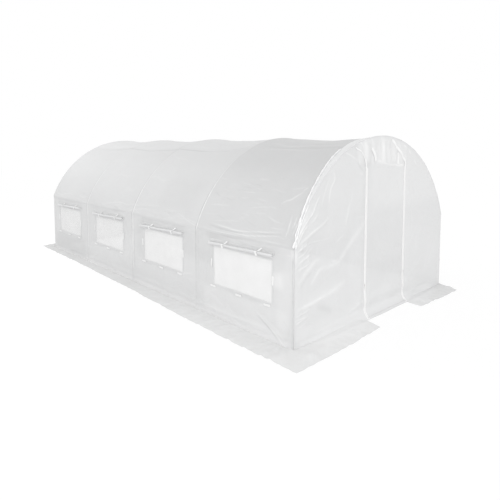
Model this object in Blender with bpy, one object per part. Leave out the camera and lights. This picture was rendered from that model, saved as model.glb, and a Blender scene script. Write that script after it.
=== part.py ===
"""Arched film tunnel on a tube frame: roll-up side windows and a zipped end door.

Metres. X across (the left side is -X seen from the door end), Y along with the
door end at -Y, Z up. The origin is on the ground under the middle of the tunnel.
"""
import math

import bmesh
import bpy

# overall film size, outside to outside
WIDTH, LENGTH, HEIGHT = 3.0, 6.0, 2.0
SHOULDER = 0.96
FILM = 0.002
GAP = 0.0005

# the tube frame
TUBE_R, TUBE_WALL = 0.0125, 0.0012
RAIL_R = 0.0095
HOOP_Y = (-2.985, -1.5, 0.0, 1.5, 2.985)
SPIGOT_Z, SPIGOT_TOP = 0.86, 0.93
RIDGE_Z = 1.905
SHOULDER_RAIL_Z, BASE_RAIL_Z = 0.925, 0.05

# the side windows, one in the middle of each bay
BAY_Y = (2.25, 0.75, -0.75, -2.25)
WINDOW_W, WINDOW_Z0, WINDOW_Z1 = 0.86, 0.37, 0.79
ROLL_R, ROLL_HALF, ROLL_Z = 0.018, 0.490, 0.834
TIE_AT, TIE_W, TIE_END = (0.25, -0.270), 0.024, 0.808
TAB_L, TAB_W, TAB_T = 0.095, 0.022, 0.0015

# fastening tabs round a window: place along the wall, height, length along the wall, height of the tab
TABS = ((0.470, 0.600, TAB_W, TAB_L), (-0.444, 0.598, TAB_W, TAB_L), (0.445, 0.340, TAB_L, TAB_W),
        (0.020, 0.333, TAB_L, TAB_W), (-0.388, 0.338, TAB_L, TAB_W))

# the doorway and its loose foot
DOOR_X0, DOOR_X1, DOOR_TOP = -0.34, 0.48, 1.65
FLARE, FLARE_Z = 0.08, 0.32
ZIP_W, SLIDER_OUT, SLIDER_Z = 0.020, 0.006, 0.36
HEM = 0.026
STRAP_W = 0.040
STRAPS = ((-0.19, 1.72, 1.86), (0.345, 1.69, 1.80))
FOLD_LEFT = ((-0.3485, 1.657), (-0.362, 1.730), (-0.430, 1.810), (-0.530, 1.866))
FOLD_RIGHT = ((0.4885, 1.657), (0.452, 1.725), (0.365, 1.810), (0.262, 1.893), (0.215, 1.955))

# the flap on the ground
FLAP = 0.31
ARC_STEPS = 20
ROOF_SAG = 0.045

ARC_R = ((WIDTH / 2) ** 2 + (HEIGHT - SHOULDER) ** 2) / (2 * (HEIGHT - SHOULDER))
ARC_Z = HEIGHT - ARC_R
WALL_OUT = WIDTH / 2 - FILM - GAP
LEG_X = WALL_OUT - FILM - GAP - TUBE_R
ARCH_R = ARC_R - FILM - GAP - TUBE_R
RAIL_X = LEG_X - TUBE_R - GAP - RAIL_R

for old in list(bpy.data.objects):
    bpy.data.objects.remove(old, do_unlink=True)


def colour_of(name, rgb, roughness=0.45, metallic=0.0):
    mat = bpy.data.materials.new("mat_" + name)
    mat.use_nodes = True
    bsdf = mat.node_tree.nodes["Principled BSDF"]
    bsdf.inputs["Base Color"].default_value = (*rgb, 1.0)
    bsdf.inputs["Roughness"].default_value = roughness
    bsdf.inputs["Metallic"].default_value = metallic
    return mat


def add(name, verts, faces, rgb, origin=(0.0, 0.0, 0.0), roughness=0.45, metallic=0.0):
    """One closed body whose own origin is at `origin`."""
    mesh = bpy.data.meshes.new(name)
    ox, oy, oz = origin
    mesh.from_pydata([(x - ox, y - oy, z - oz) for x, y, z in verts], [], faces)
    bm = bmesh.new()
    bm.from_mesh(mesh)
    bmesh.ops.remove_doubles(bm, verts=bm.verts, dist=1e-6)
    bmesh.ops.recalc_face_normals(bm, faces=bm.faces)
    bm.to_mesh(mesh)
    bm.free()
    obj = bpy.data.objects.new(name, mesh)
    obj.location = origin
    bpy.context.scene.collection.objects.link(obj)
    mesh.materials.append(colour_of(name, rgb, roughness, metallic))
    return obj


METAL = dict(rgb=(0.62, 0.64, 0.66), roughness=0.35, metallic=0.9)
SHEET = dict(rgb=(0.86, 0.87, 0.87), roughness=0.3)
WEBBING = dict(rgb=(0.92, 0.92, 0.91), roughness=0.7)


def tube(points, side, r_out, r_in, sides):
    """Hollow tube along a path lying in one plane; side is that plane's normal.

    A radius may be one number or a list with one radius for each path point.
    """
    count = len(points)
    outs = r_out if isinstance(r_out, (list, tuple)) else [r_out] * count
    verts, faces = [], []
    for k, p in enumerate(points):
        before = points[max(k - 1, 0)]
        after = points[min(k + 1, count - 1)]
        if outs[k] is None:
            continue
        way = [after[i] - before[i] for i in range(3)]
        if 0 < k < count - 1:
            a = unit([p[i] - before[i] for i in range(3)])
            b = unit([after[i] - p[i] for i in range(3)])
            way = [a[i] + b[i] for i in range(3)]
            half = math.acos(max(-1.0, min(1.0, dot(a, b)))) / 2
        else:
            half = 0.0
        way = unit(way)
        across = cross(side, way)
        wide = 1.0 / math.cos(half)
        for radius in (outs[k], r_in):
            for s in range(sides):
                t = 2 * math.pi * (s + 0.5) / sides
                c, q = math.cos(t) * radius * wide, math.sin(t) * radius
                verts.append(tuple(p[i] + across[i] * c + side[i] * q for i in range(3)))
    ring = 2 * sides
    for k in range(count - 1):
        for layer in (0, 1):
            for s in range(sides):
                a = k * ring + layer * sides + s
                b = k * ring + layer * sides + (s + 1) % sides
                faces.append((a, b, b + ring, a + ring) if layer == 0 else (b, a, a + ring, b + ring))
    for base in (0, (count - 1) * ring):
        for s in range(sides):
            n = (s + 1) % sides
            faces.append((base + s, base + n, base + sides + n, base + sides + s))
    return verts, faces


def unit(v):
    size = math.sqrt(sum(c * c for c in v))
    return [c / size for c in v]


def dot(a, b):
    return sum(p * q for p, q in zip(a, b))


def cross(a, b):
    return [a[1] * b[2] - a[2] * b[1], a[2] * b[0] - a[0] * b[2], a[0] * b[1] - a[1] * b[0]]


def slab(us, vs, place, keep=None):
    """Closed sheet over a grid; place(u, v, side) gives a point on side 0 or 1."""
    keep = keep or (lambda i, j: True)
    nu, nv = len(us), len(vs)
    verts = [place(u, v, side) for side in (0, 1) for u in us for v in vs]
    faces = []

    def at(i, j, side):
        return side * nu * nv + i * nv + j

    def solid(i, j):
        return 0 <= i < nu - 1 and 0 <= j < nv - 1 and keep(i, j)

    for i in range(nu - 1):
        for j in range(nv - 1):
            if not solid(i, j):
                continue
            for side in (0, 1):
                faces.append((at(i, j, side), at(i + 1, j, side), at(i + 1, j + 1, side), at(i, j + 1, side)))
            edges = (((i, j), (i + 1, j), (i, j - 1)), ((i, j + 1), (i + 1, j + 1), (i, j + 1)),
                     ((i, j), (i, j + 1), (i - 1, j)), ((i + 1, j), (i + 1, j + 1), (i + 1, j)))
            for p, q, beyond in edges:
                if not solid(*beyond):
                    faces.append((at(*p, 0), at(*q, 0), at(*q, 1), at(*p, 1)))
    used = sorted({n for f in faces for n in f})
    index = {n: k for k, n in enumerate(used)}
    return [verts[n] for n in used], [tuple(index[n] for n in f) for f in faces]


def prism(outline, lift):
    """Closed prism: outline is a list of points, lift the vector to the other end."""
    n = len(outline)
    verts = list(outline) + [tuple(p[i] + lift[i] for i in range(3)) for p in outline]
    faces = [tuple(range(n)), tuple(range(2 * n - 1, n - 1, -1))]
    faces += [(k, (k + 1) % n, n + (k + 1) % n, n + k) for k in range(n)]
    return verts, faces


def box(x0, x1, y0, y1, z0, z1):
    return prism([(x0, y0, z0), (x1, y0, z0), (x1, y1, z0), (x0, y1, z0)], (0, 0, z1 - z0))


def mesh_of(verts, faces):
    mesh = bpy.data.meshes.new("piece")
    mesh.from_pydata(verts, [], faces)
    bm = bmesh.new()
    bm.from_mesh(mesh)
    bmesh.ops.recalc_face_normals(bm, faces=bm.faces)
    bmesh.ops.triangulate(bm, faces=bm.faces)
    bm.to_mesh(mesh)
    bm.free()
    return mesh


def joined(solids):
    """Boolean union of overlapping solids, as one list of vertices and faces."""
    objects = []
    for verts, faces in solids:
        obj = bpy.data.objects.new("piece", mesh_of(verts, faces))
        bpy.context.scene.collection.objects.link(obj)
        objects.append(obj)
    whole = objects[0]
    for other in objects[1:]:
        cut = whole.modifiers.new("union", "BOOLEAN")
        cut.operation, cut.solver, cut.object = "UNION", "EXACT", other
    graph = bpy.context.evaluated_depsgraph_get()
    mesh = bpy.data.meshes.new_from_object(whole.evaluated_get(graph))
    verts = [tuple(v.co) for v in mesh.vertices]
    faces = [tuple(p.vertices) for p in mesh.polygons]
    for obj in objects:
        bpy.data.objects.remove(obj, do_unlink=True)
    return verts, faces


def sliced(verts, faces, planes):
    """Cuts extra edges where the planes (point, normal) cross the solid."""
    mesh = mesh_of(verts, faces)
    bm = bmesh.new()
    bm.from_mesh(mesh)
    for point, normal in planes:
        geometry = bm.verts[:] + bm.edges[:] + bm.faces[:]
        bmesh.ops.bisect_plane(bm, geom=geometry, plane_co=point, plane_no=normal, dist=1e-5)
    bmesh.ops.triangulate(bm, faces=bm.faces)
    bm.verts.index_update()
    out = [tuple(v.co) for v in bm.verts], [tuple(v.index for v in f.verts) for f in bm.faces]
    bm.free()
    return out


def arc_angles(radius, x_at_side):
    """Angles from the crown, shared by film and tubes so their facets line up."""
    end = math.asin(x_at_side / radius)
    return [end * (2 * k / ARC_STEPS - 1) for k in range(ARC_STEPS + 1)]


def arch_points(radius, x_at_side, foot):
    """Straight foot, arc over the crown, straight foot: (x, z) pairs."""
    arc = [(radius * math.sin(t), ARC_Z + radius * math.cos(t)) for t in arc_angles(radius, x_at_side)]
    return [(-x_at_side, foot)] + arc + [(x_at_side, foot)]


def leg(side, number, y):
    """Lower hoop tube with a reduced spigot that enters the arch tube."""
    x = side * LEG_X
    neck = TUBE_R - TUBE_WALL - 0.0006
    path = [(x, y, 0.0), (x, y, SPIGOT_Z - 0.004), (x, y, SPIGOT_Z - 0.0005), (x, y, SPIGOT_TOP)]
    verts, faces = tube(path, (0, 1, 0), [TUBE_R, TUBE_R, neck, neck], neck - 0.0012, 10)
    word = "left" if side < 0 else "right"
    return add(f"leg_{word}_{number}", verts, faces, **METAL)


def arch(number, y):
    path = [(x, y, z) for x, z in arch_points(ARCH_R, LEG_X, SPIGOT_Z)]
    verts, faces = tube(path, (0, 1, 0), TUBE_R, TUBE_R - TUBE_WALL, 10)
    return add(f"arch_{number}", verts, faces, **METAL)


def rod(name, start, end, radius, side):
    verts, faces = tube([start, end], side, radius, radius - TUBE_WALL, 10)
    return add(name, verts, faces, **METAL)


def cradle(hoop_y, place, lift):
    """Part ring that hugs one side of a hoop tube; place(a, b) gives a point of its outline.

    a runs across the tube and b away from it on the rail's side. At the end hoops the
    ring is shorter, so that it stays inside the end film.
    """
    near, far = TUBE_R + 2 * GAP, TUBE_R + 2 * GAP + 0.002
    spread = 38 if abs(hoop_y) > 2 else 78
    turns = [math.radians(90 + spread * k / 3) for k in range(-3, 4)]
    outline = [place(near * math.cos(t), near * math.sin(t)) for t in turns]
    outline += [place(far * math.cos(t), far * math.sin(t)) for t in reversed(turns)]
    return prism(outline, lift)


def ridge_rail(end):
    """Rail under the crown, hung from each hoop by a cradle with a stem."""
    crown = ARC_Z + ARCH_R
    solids = [tube([(0, -end, RIDGE_Z), (0, end, RIDGE_Z)], (1, 0, 0), RAIL_R, RAIL_R - TUBE_WALL, 10)]
    for y in HOOP_Y:
        ring = lambda a, b: (-0.008, y + a, crown - b)
        solids.append(cradle(y, ring, (0.016, 0, 0)))
        solids.append(box(-0.008, 0.008, y - 0.0015, y + 0.0015, RIDGE_Z + 0.008, crown - TUBE_R - 0.0018))
    verts, faces = joined(solids)
    add("ridge_rail", verts, faces, **METAL)


def side_rail(name, side, end, z, hoops):
    """Rail along one side with a cradle round the inner half of each leg it passes."""
    x = side * RAIL_X
    solids = [tube([(x, -end, z), (x, end, z)], (1, 0, 0), RAIL_R, RAIL_R - TUBE_WALL, 10)]
    for y in hoops:
        ring = lambda a, b: (side * (LEG_X - b), y + a, z - 0.006)
        solids.append(cradle(y, ring, (0, 0, 0.012)))
    verts, faces = joined(solids)
    add(name, verts, faces, **METAL)


def frame_rails():
    end = HOOP_Y[4] + TUBE_R - 0.001
    inner = HOOP_Y[4] - TUBE_R - GAP
    ridge_rail(end)
    for side, word in ((-1, "left"), (1, "right")):
        side_rail(f"shoulder_rail_{word}", side, end, SHOULDER_RAIL_Z, HOOP_Y)
        side_rail(f"base_rail_{word}", side, inner, BASE_RAIL_Z, HOOP_Y[1:4])
    reach = LEG_X - TUBE_R - GAP
    rod("base_rail_rear", (-reach, HOOP_Y[4], BASE_RAIL_Z), (reach, HOOP_Y[4], BASE_RAIL_Z), TUBE_R, (0, 1, 0))


def door_frame():
    y = HOOP_Y[0]
    for x, word in ((DOOR_X0 - 0.03, "left"), (DOOR_X1 + 0.03, "right")):
        far = abs(x) + TUBE_R
        top = ARC_Z + math.sqrt((ARCH_R - TUBE_R) ** 2 - far * far) - 0.005
        rod(f"door_post_{word}", (x, y, 0), (x, y, top), TUBE_R, (0, 1, 0))
        outer = math.copysign(LEG_X - TUBE_R - GAP, x)
        inner = x + math.copysign(TUBE_R + GAP, x)
        rod(f"sill_rail_{word}", (min(outer, inner), y, BASE_RAIL_Z), (max(outer, inner), y, BASE_RAIL_Z),
            TUBE_R, (0, 1, 0))
    x0, x1 = DOOR_X0 - 0.03 + TUBE_R + GAP, DOOR_X1 + 0.03 - TUBE_R - GAP
    rod("door_lintel", (x0, y, 1.70), (x1, y, 1.70), TUBE_R, (0, 1, 0))


def side_wall(side):
    """Film below the shoulder with four window openings."""
    word = "left" if side < 0 else "right"
    end = LENGTH / 2 - FILM - GAP
    half = WINDOW_W / 2
    us = [-end] + [c + s * half for c in sorted(BAY_Y) for s in (-1, 1)] + [end]
    vs = [FILM + GAP, WINDOW_Z0, WINDOW_Z1, SHOULDER - 0.006]

    def place(u, v, face):
        return (side * (WALL_OUT - face * FILM), u, v)

    solids = [slab(us, vs, place, lambda i, j: not (i % 2 == 1 and j == 1))]
    for y in BAY_Y:
        for dy, z, long, tall in TABS:
            solids.append(box(side * (WALL_OUT - 0.001), side * (WALL_OUT + TAB_T), y + dy - long / 2,
                              y + dy + long / 2, z - tall / 2, z + tall / 2))
    verts, faces = joined(solids)
    return add(f"side_wall_{word}", verts, faces, **SHEET)


def window_net(side, number, y):
    word = "left" if side < 0 else "right"
    inner = WALL_OUT - FILM - GAP
    half, lap = WINDOW_W / 2, 0.02
    verts, faces = box(side * inner, side * (inner - 0.0015), y - half - lap, y + half + lap,
                       WINDOW_Z0 - lap, WINDOW_Z1 + lap)
    return add(f"window_net_{word}_{number}", verts, faces, rgb=(0.93, 0.94, 0.94), roughness=0.6)


def roll_centre(side):
    return side * (WALL_OUT + 0.0035 + ROLL_R)


def window_roll(side, number, y):
    """Rolled flap: a spiral of film as long as the window is wide, on a slide."""
    word = "left" if side < 0 else "right"
    x = roll_centre(side)
    steps, turns, film, fall = 48, 3.0, 0.0020, 0.0100
    outer, inner = [], []
    for k in range(steps + 1):
        t = 2 * math.pi * turns * k / steps
        r = ROLL_R - fall * k / steps
        a = math.pi / 2 + t
        outer.append((x + side * r * math.cos(a), y - ROLL_HALF, ROLL_Z + r * math.sin(a)))
        inner.append((x + side * (r - film) * math.cos(a), y - ROLL_HALF, ROLL_Z + (r - film) * math.sin(a)))
    n = steps + 1
    verts, faces = [], []
    for dy in (0.0, 2 * ROLL_HALF):
        verts += [(p[0], p[1] + dy, p[2]) for p in outer + inner]
    for k in range(steps):
        for base in (0, 2 * n):
            faces.append((base + k, base + k + 1, base + n + k + 1, base + n + k))
        faces.append((k, k + 1, 2 * n + k + 1, 2 * n + k))
        faces.append((n + k, n + k + 1, 3 * n + k + 1, 3 * n + k))
    for k in (0, steps):
        faces.append((k, n + k, 3 * n + k, 2 * n + k))
    return add(f"window_roll_{word}_{number}", verts, faces, origin=(x, y, ROLL_Z), **SHEET)


def window_band(side, number, y):
    """Stitched band above the window with the two ties that hold the roll."""
    word = "left" if side < 0 else "right"
    face, wide = WALL_OUT + GAP, TIE_W
    x0, reach = abs(roll_centre(side)), ROLL_R + 0.0035
    solids = [box(side * face, side * (face + 0.002), y - ROLL_HALF, y + ROLL_HALF, 0.848, 0.872)]
    path = [(face + 0.001, 0.860)]
    for k in range(9):
        a = math.radians(104 - 13 * k)
        path.append((x0 + reach * math.cos(a), ROLL_Z + reach * math.sin(a)))
    path.append((x0 + reach + 0.0003, TIE_END))
    for offset in TIE_AT:
        start = y + offset - wide / 2
        outline = ribbon(path, 0.0015)
        solids.append(prism([(side * px, start, pz) for px, pz in outline], (0, wide, 0)))
    verts, faces = joined(solids)
    return add(f"window_band_{word}_{number}", verts, faces, **WEBBING)


def ribbon(path, thick):
    """Outline of a thin strip drawn along an (x, z) path."""
    left, right = [], []
    for k, (x, z) in enumerate(path):
        bx, bz = path[max(k - 1, 0)]
        ax, az = path[min(k + 1, len(path) - 1)]
        dx, dz = ax - bx, az - bz
        size = math.hypot(dx, dz)
        nx, nz = -dz / size * thick / 2, dx / size * thick / 2
        left.append((x + nx, z + nz))
        right.append((x - nx, z - nz))
    return left + right[::-1]


def sag(y, along):
    """How far the roof film dips between hoops; along is -1 to 1 over the arc."""
    hoops = (-2.985, -1.5, 0.0, 1.5, 2.985)
    for a, b in zip(hoops, hoops[1:]):
        if a <= y <= b:
            t = (y - a) / (b - a)
            return ROOF_SAG * math.sin(math.pi * t) * (1 - along ** 4)
    return 0.0


def roof():
    """Arched film over all the hoops, lapped down over the side walls."""
    end = LENGTH / 2 - FILM - GAP
    us = list(range(ARC_STEPS + 3))
    vs = [-end]
    for a, b in zip(HOOP_Y, HOOP_Y[1:]):
        vs += [a + (b - a) * k / 4 for k in range(4)]
    vs += [HOOP_Y[4], end]

    def place(u, v, face):
        depth = face * FILM
        radius, side_x = ARC_R - depth, WIDTH / 2 - depth
        if u == 0 or u == ARC_STEPS + 2:
            return (-side_x if u == 0 else side_x, v, SHOULDER - 0.024)
        angle = arc_angles(radius, side_x)[u - 1]
        dip = sag(v, 2 * (u - 1) / ARC_STEPS - 1)
        return ((radius - dip) * math.sin(angle), v, ARC_Z + (radius - dip) * math.cos(angle))

    verts, faces = slab(us, vs, place)
    return add("roof_sheet", verts, faces, **SHEET)


def end_outline(y, low):
    """Arch outline of an end wall as points at one y."""
    return [(x, y, z) for x, z in arch_points(ARC_R, WIDTH / 2, low)]


def flare(x, z):
    """How far the loose foot of the door end stands out on the ground."""
    if z >= FLARE_Z:
        return 0.0
    side = min(1.0, max(0.0, (1.46 - abs(x)) / 0.6))
    side = side * side * (3 - 2 * side)
    return FLARE * ((FLARE_Z - z) / FLARE_Z) ** 2 * side


FOOT_CUTS = [((0, 0, z), (0, 0, 1)) for z in (0.06, 0.13, 0.22, 0.32)]


def front_wall():
    """Door-end film with the doorway cut out, zip tapes and two top straps."""
    y = -LENGTH / 2
    low = FILM + GAP
    left, right = DOOR_X0 - 0.0025, DOOR_X1 + 0.0025
    arc = end_outline(y, low)
    notch = [(right, y, low), (right, y, DOOR_TOP + 0.002), (left, y, DOOR_TOP + 0.002), (left, y, low)]
    solids = [prism(arc + notch, (0, FILM, 0))]
    for x, out in ((left, -1), (right, 1)):
        solids.append(box(x, x + out * ZIP_W, y - 0.0025, y + 0.001, low, DOOR_TOP + 0.002))
    for x, z0, z1 in STRAPS:
        solids.append(box(x - STRAP_W / 2, x + STRAP_W / 2, y - 0.003, y + 0.001, z0, z1))
    for path in (FOLD_LEFT, FOLD_RIGHT):
        solids.append(prism([(px, y - 0.0022, pz) for px, pz in ribbon(path, 0.018)], (0, 0.0032, 0)))
    verts, faces = joined(solids)
    cuts = FOOT_CUTS + [((x, 0, 0), (1, 0, 0)) for x in (-1.46, -1.26, -1.06, -0.86, 0.86, 1.06, 1.26, 1.46)]
    verts, faces = sliced(verts, faces, cuts)
    verts = [(vx, vy - flare(vx, vz), vz) for vx, vy, vz in verts]
    return add("front_wall", verts, faces, **SHEET)


def rear_wall():
    y = LENGTH / 2
    verts, faces = prism(end_outline(y, FILM + GAP), (0, -FILM, 0))
    return add("rear_wall", verts, faces, **SHEET)


def door_panel():
    """Zipped door sheet with its hem and inner zip tapes, hung from the fold along its top edge."""
    y = -LENGTH / 2
    x0, x1 = DOOR_X0, DOOR_X1
    low = FILM + 2 * GAP
    hem = box(x0 + 0.001, x1 - 0.001, y - 0.0012, y + 0.001, low, low + HEM)
    solids = [box(x0, x1, y, y + FILM, low, DOOR_TOP - 0.0015), hem]
    for a, b in ((x0 + 0.0005, x0 + ZIP_W), (x1 - ZIP_W, x1 - 0.0005)):
        solids.append(box(a, b, y - 0.0016, y + 0.001, low + HEM + 0.002, DOOR_TOP - 0.004))
    verts, faces = joined(solids)
    verts, faces = sliced(verts, faces, FOOT_CUTS)
    verts = [(vx, vy - flare(vx, vz), vz) for vx, vy, vz in verts]
    return add("door_panel", verts, faces, origin=(0.5 * (x0 + x1), y + FILM / 2, DOOR_TOP), **SHEET)


def zip_slider(word, x, out):
    """Slider with its hanging pull, riding in front of the zip tape."""
    y = -LENGTH / 2 - 0.0025 - GAP
    mid = x + out * SLIDER_OUT
    solids = [
        box(mid - 0.0055, mid + 0.0055, y - 0.006, y, SLIDER_Z, SLIDER_Z + 0.024),
        box(mid - 0.0035, mid + 0.0035, y - 0.0075, y - 0.005, SLIDER_Z - 0.032, SLIDER_Z + 0.018),
    ]
    verts, faces = joined(solids)
    return add(f"zip_slider_{word}", verts, faces, rgb=(0.85, 0.85, 0.84), origin=(mid, y - 0.003, SLIDER_Z))


def ground_flap():
    """Flap lying on the ground outside the walls, open at the doorway."""
    inner_x, inner_y = WALL_OUT - FILM, LENGTH / 2 - FILM
    out_x, out_y = WIDTH / 2 + FLAP, LENGTH / 2 + FLAP
    outline = [
        (DOOR_X0 - 0.02, -inner_y), (DOOR_X0 - 0.09, -out_y + 0.05), (-1.00, -out_y + 0.01),
        (-out_x, -out_y), (-out_x - 0.02, -2.70), (-out_x + 0.01, -1.50), (-out_x + 0.08, -0.20),
        (-out_x + 0.13, 1.20), (-out_x + 0.15, out_y - 0.12),
        (0.0, out_y), (out_x, out_y - 0.02), (out_x + 0.02, 0.60), (out_x, -2.84), (WIDTH / 2 + 0.02, -2.97),
        (WIDTH / 2 + 0.015, -LENGTH / 2 - 0.015), (WIDTH / 2 - 0.10, -out_y + 0.02),
        (1.10, -out_y + 0.02), (DOOR_X1 - 0.02, -out_y + 0.05), (DOOR_X1 + 0.02, -inner_y),
        (inner_x, -inner_y), (inner_x, inner_y), (-inner_x, inner_y), (-inner_x, -inner_y),
    ]
    verts, faces = prism([(x, y, 0.0) for x, y in outline], (0, 0, FILM))
    return add("ground_flap", verts, faces, **SHEET)


for index, hoop_y in enumerate(HOOP_Y, start=1):
    leg(-1, index, hoop_y)
    leg(1, index, hoop_y)
    arch(index, hoop_y)
frame_rails()
door_frame()
for side_sign in (-1, 1):
    side_wall(side_sign)
    for index, bay_y in enumerate(BAY_Y, start=1):
        window_net(side_sign, index, bay_y)
        window_roll(side_sign, index, bay_y)
        window_band(side_sign, index, bay_y)
roof()
front_wall()
rear_wall()
door_panel()
zip_slider("left", DOOR_X0 - 0.0025, -1)
zip_slider("right", DOOR_X1 + 0.0025, 1)
ground_flap()
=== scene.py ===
"""Film-covered garden tunnel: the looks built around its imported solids.

Metres. X runs across (the left side is -X seen from the door end), Y along the tunnel
with the door end at -Y, Z up. The origin is on the ground under the middle.
"""

import logging
import math
from collections.abc import Callable, Sequence
from dataclasses import dataclass
from enum import Enum
from functools import cached_property

import bpy
import numpy as np
from bpy.types import ID, Light, Material, Node, NodeOutputs, NodeSocket, NodeTree, Object
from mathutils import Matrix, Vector


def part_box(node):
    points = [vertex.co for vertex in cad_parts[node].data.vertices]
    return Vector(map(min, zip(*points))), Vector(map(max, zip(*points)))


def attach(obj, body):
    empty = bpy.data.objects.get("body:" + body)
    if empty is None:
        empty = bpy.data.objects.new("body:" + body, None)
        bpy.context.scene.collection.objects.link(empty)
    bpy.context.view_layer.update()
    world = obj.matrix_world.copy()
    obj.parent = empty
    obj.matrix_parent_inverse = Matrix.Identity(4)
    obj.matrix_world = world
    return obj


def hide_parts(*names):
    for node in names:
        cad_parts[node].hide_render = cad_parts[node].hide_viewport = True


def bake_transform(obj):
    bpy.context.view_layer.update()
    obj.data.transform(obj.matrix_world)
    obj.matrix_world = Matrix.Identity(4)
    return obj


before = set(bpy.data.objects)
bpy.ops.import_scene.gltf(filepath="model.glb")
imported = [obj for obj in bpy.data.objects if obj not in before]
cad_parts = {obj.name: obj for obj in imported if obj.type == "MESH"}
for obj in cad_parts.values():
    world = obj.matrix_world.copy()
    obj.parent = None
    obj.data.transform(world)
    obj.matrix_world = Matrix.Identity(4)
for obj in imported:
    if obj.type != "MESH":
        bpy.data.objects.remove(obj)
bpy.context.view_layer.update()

LOG = logging.getLogger("tunnel")
ROOT = "frame_and_cover"
TAU = 2.0 * math.pi

Array = np.ndarray
Point = tuple[float, float]
Place = tuple[float, float, float]
Way = Array | Place

RING = 12  # points round a carried strip
FRONT, TOP, REAR = (0, -1, 0), (0, 0, 1), (0, 1, 0)
ACROSS, ALONG = (1, 0, 0), (0, 1, 0)


class Side(Enum):
    """The two long sides, by the sign of their x."""

    LEFT = -1
    RIGHT = 1

    @property
    def word(self) -> str:
        """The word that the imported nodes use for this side."""
        return self.name.lower()

    @property
    def out(self) -> Place:
        """The way out of the tunnel on this side."""
        return (float(self.value), 0.0, 0.0)


class Section(Enum):
    """Outline of a carried strip: the exponent of its superellipse."""

    ROUND = 1.0
    FLAT = 0.35


def ramp(x: Array, low: float, high: float) -> Array:
    """Rises from 0 at low to 1 at high as t * t * (3 - 2 * t)."""
    t = np.clip((x - low) / (high - low), 0.0, 1.0)
    return t * t * (3.0 - 2.0 * t)


def bell(x: Array, centre: float, half: float) -> Array:
    """A soft bump of height 1: exp(-((x - centre) / half) squared)."""
    return np.exp(-(((x - centre) / half) ** 2))


def stacked(*parts: Array | float) -> Array:
    """Coordinates side by side on a last axis, all brought to one shape first."""
    return np.stack(np.broadcast_arrays(*parts), -1)


def gridded(first: Array, second: Array) -> list[Array]:
    """Both coordinates over a grid whose rows follow the first line."""
    return np.meshgrid(first, second, indexing="ij")


def spaced(stops: Sequence[float], steps: float | Sequence[float]) -> Array:
    """Values that run through every stop, at most one step apart.

    Args:
        stops: Values to meet, from the lowest.
        steps: The longest step, for all runs between stops or for each.

    Returns:
        The values, end stops included.
    """
    each = np.broadcast_to(steps, len(stops) - 1)
    runs = [np.linspace(a, b, max(2, math.ceil((b - a) / step) + 1))[:-1]
            for a, b, step in zip(stops, stops[1:], each)]
    return np.concatenate([*runs, [stops[-1]]])


def smooth_path(points: Sequence[Sequence[float]], count: int) -> Array:
    """A curve through the points, by Catmull-Rom pieces between each pair.

    Args:
        points: Points of two or three coordinates.
        count: How many to return.

    Returns:
        The curve, shape (count, coordinates).
    """
    p = np.asarray(points, float)
    p = np.vstack([2 * p[0] - p[1], p, 2 * p[-1] - p[-2]])
    at = np.linspace(0.0, len(p) - 3.0, count)
    k = np.minimum(at.astype(int), len(p) - 4)
    t = (at - k)[:, None]
    a, b, c, d = p[k], p[k + 1], p[k + 2], p[k + 3]
    square, cube = 2 * a - 5 * b + 4 * c - d, 3 * b - a - 3 * c + d
    return 0.5 * (2 * b + (c - a) * t + square * t**2 + cube * t**3)


def unit(v: Array) -> Array:
    """Each row at length 1."""
    return v / np.linalg.norm(v, axis=-1, keepdims=True)


def added(name: str, data: ID) -> Object:
    """A new object in the scene, at the origin."""
    made = bpy.data.objects.new(name, data)
    bpy.context.scene.collection.objects.link(made)
    return made


def run_along(path: Array) -> Array:
    """Distance along a path at each of its points."""
    return np.concatenate([[0.0], np.cumsum(np.linalg.norm(np.diff(path, axis=0), axis=1))])


def oval(power: float, count: int, extra: int = 0) -> list[Array]:
    """Cosine and sine round a closed section, each raised to the power with its sign kept."""
    turn = TAU * (np.arange(count + extra) + 0.5) / count
    return [np.sign(wave) * np.abs(wave) ** power for wave in (np.cos(turn), np.sin(turn))]


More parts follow.
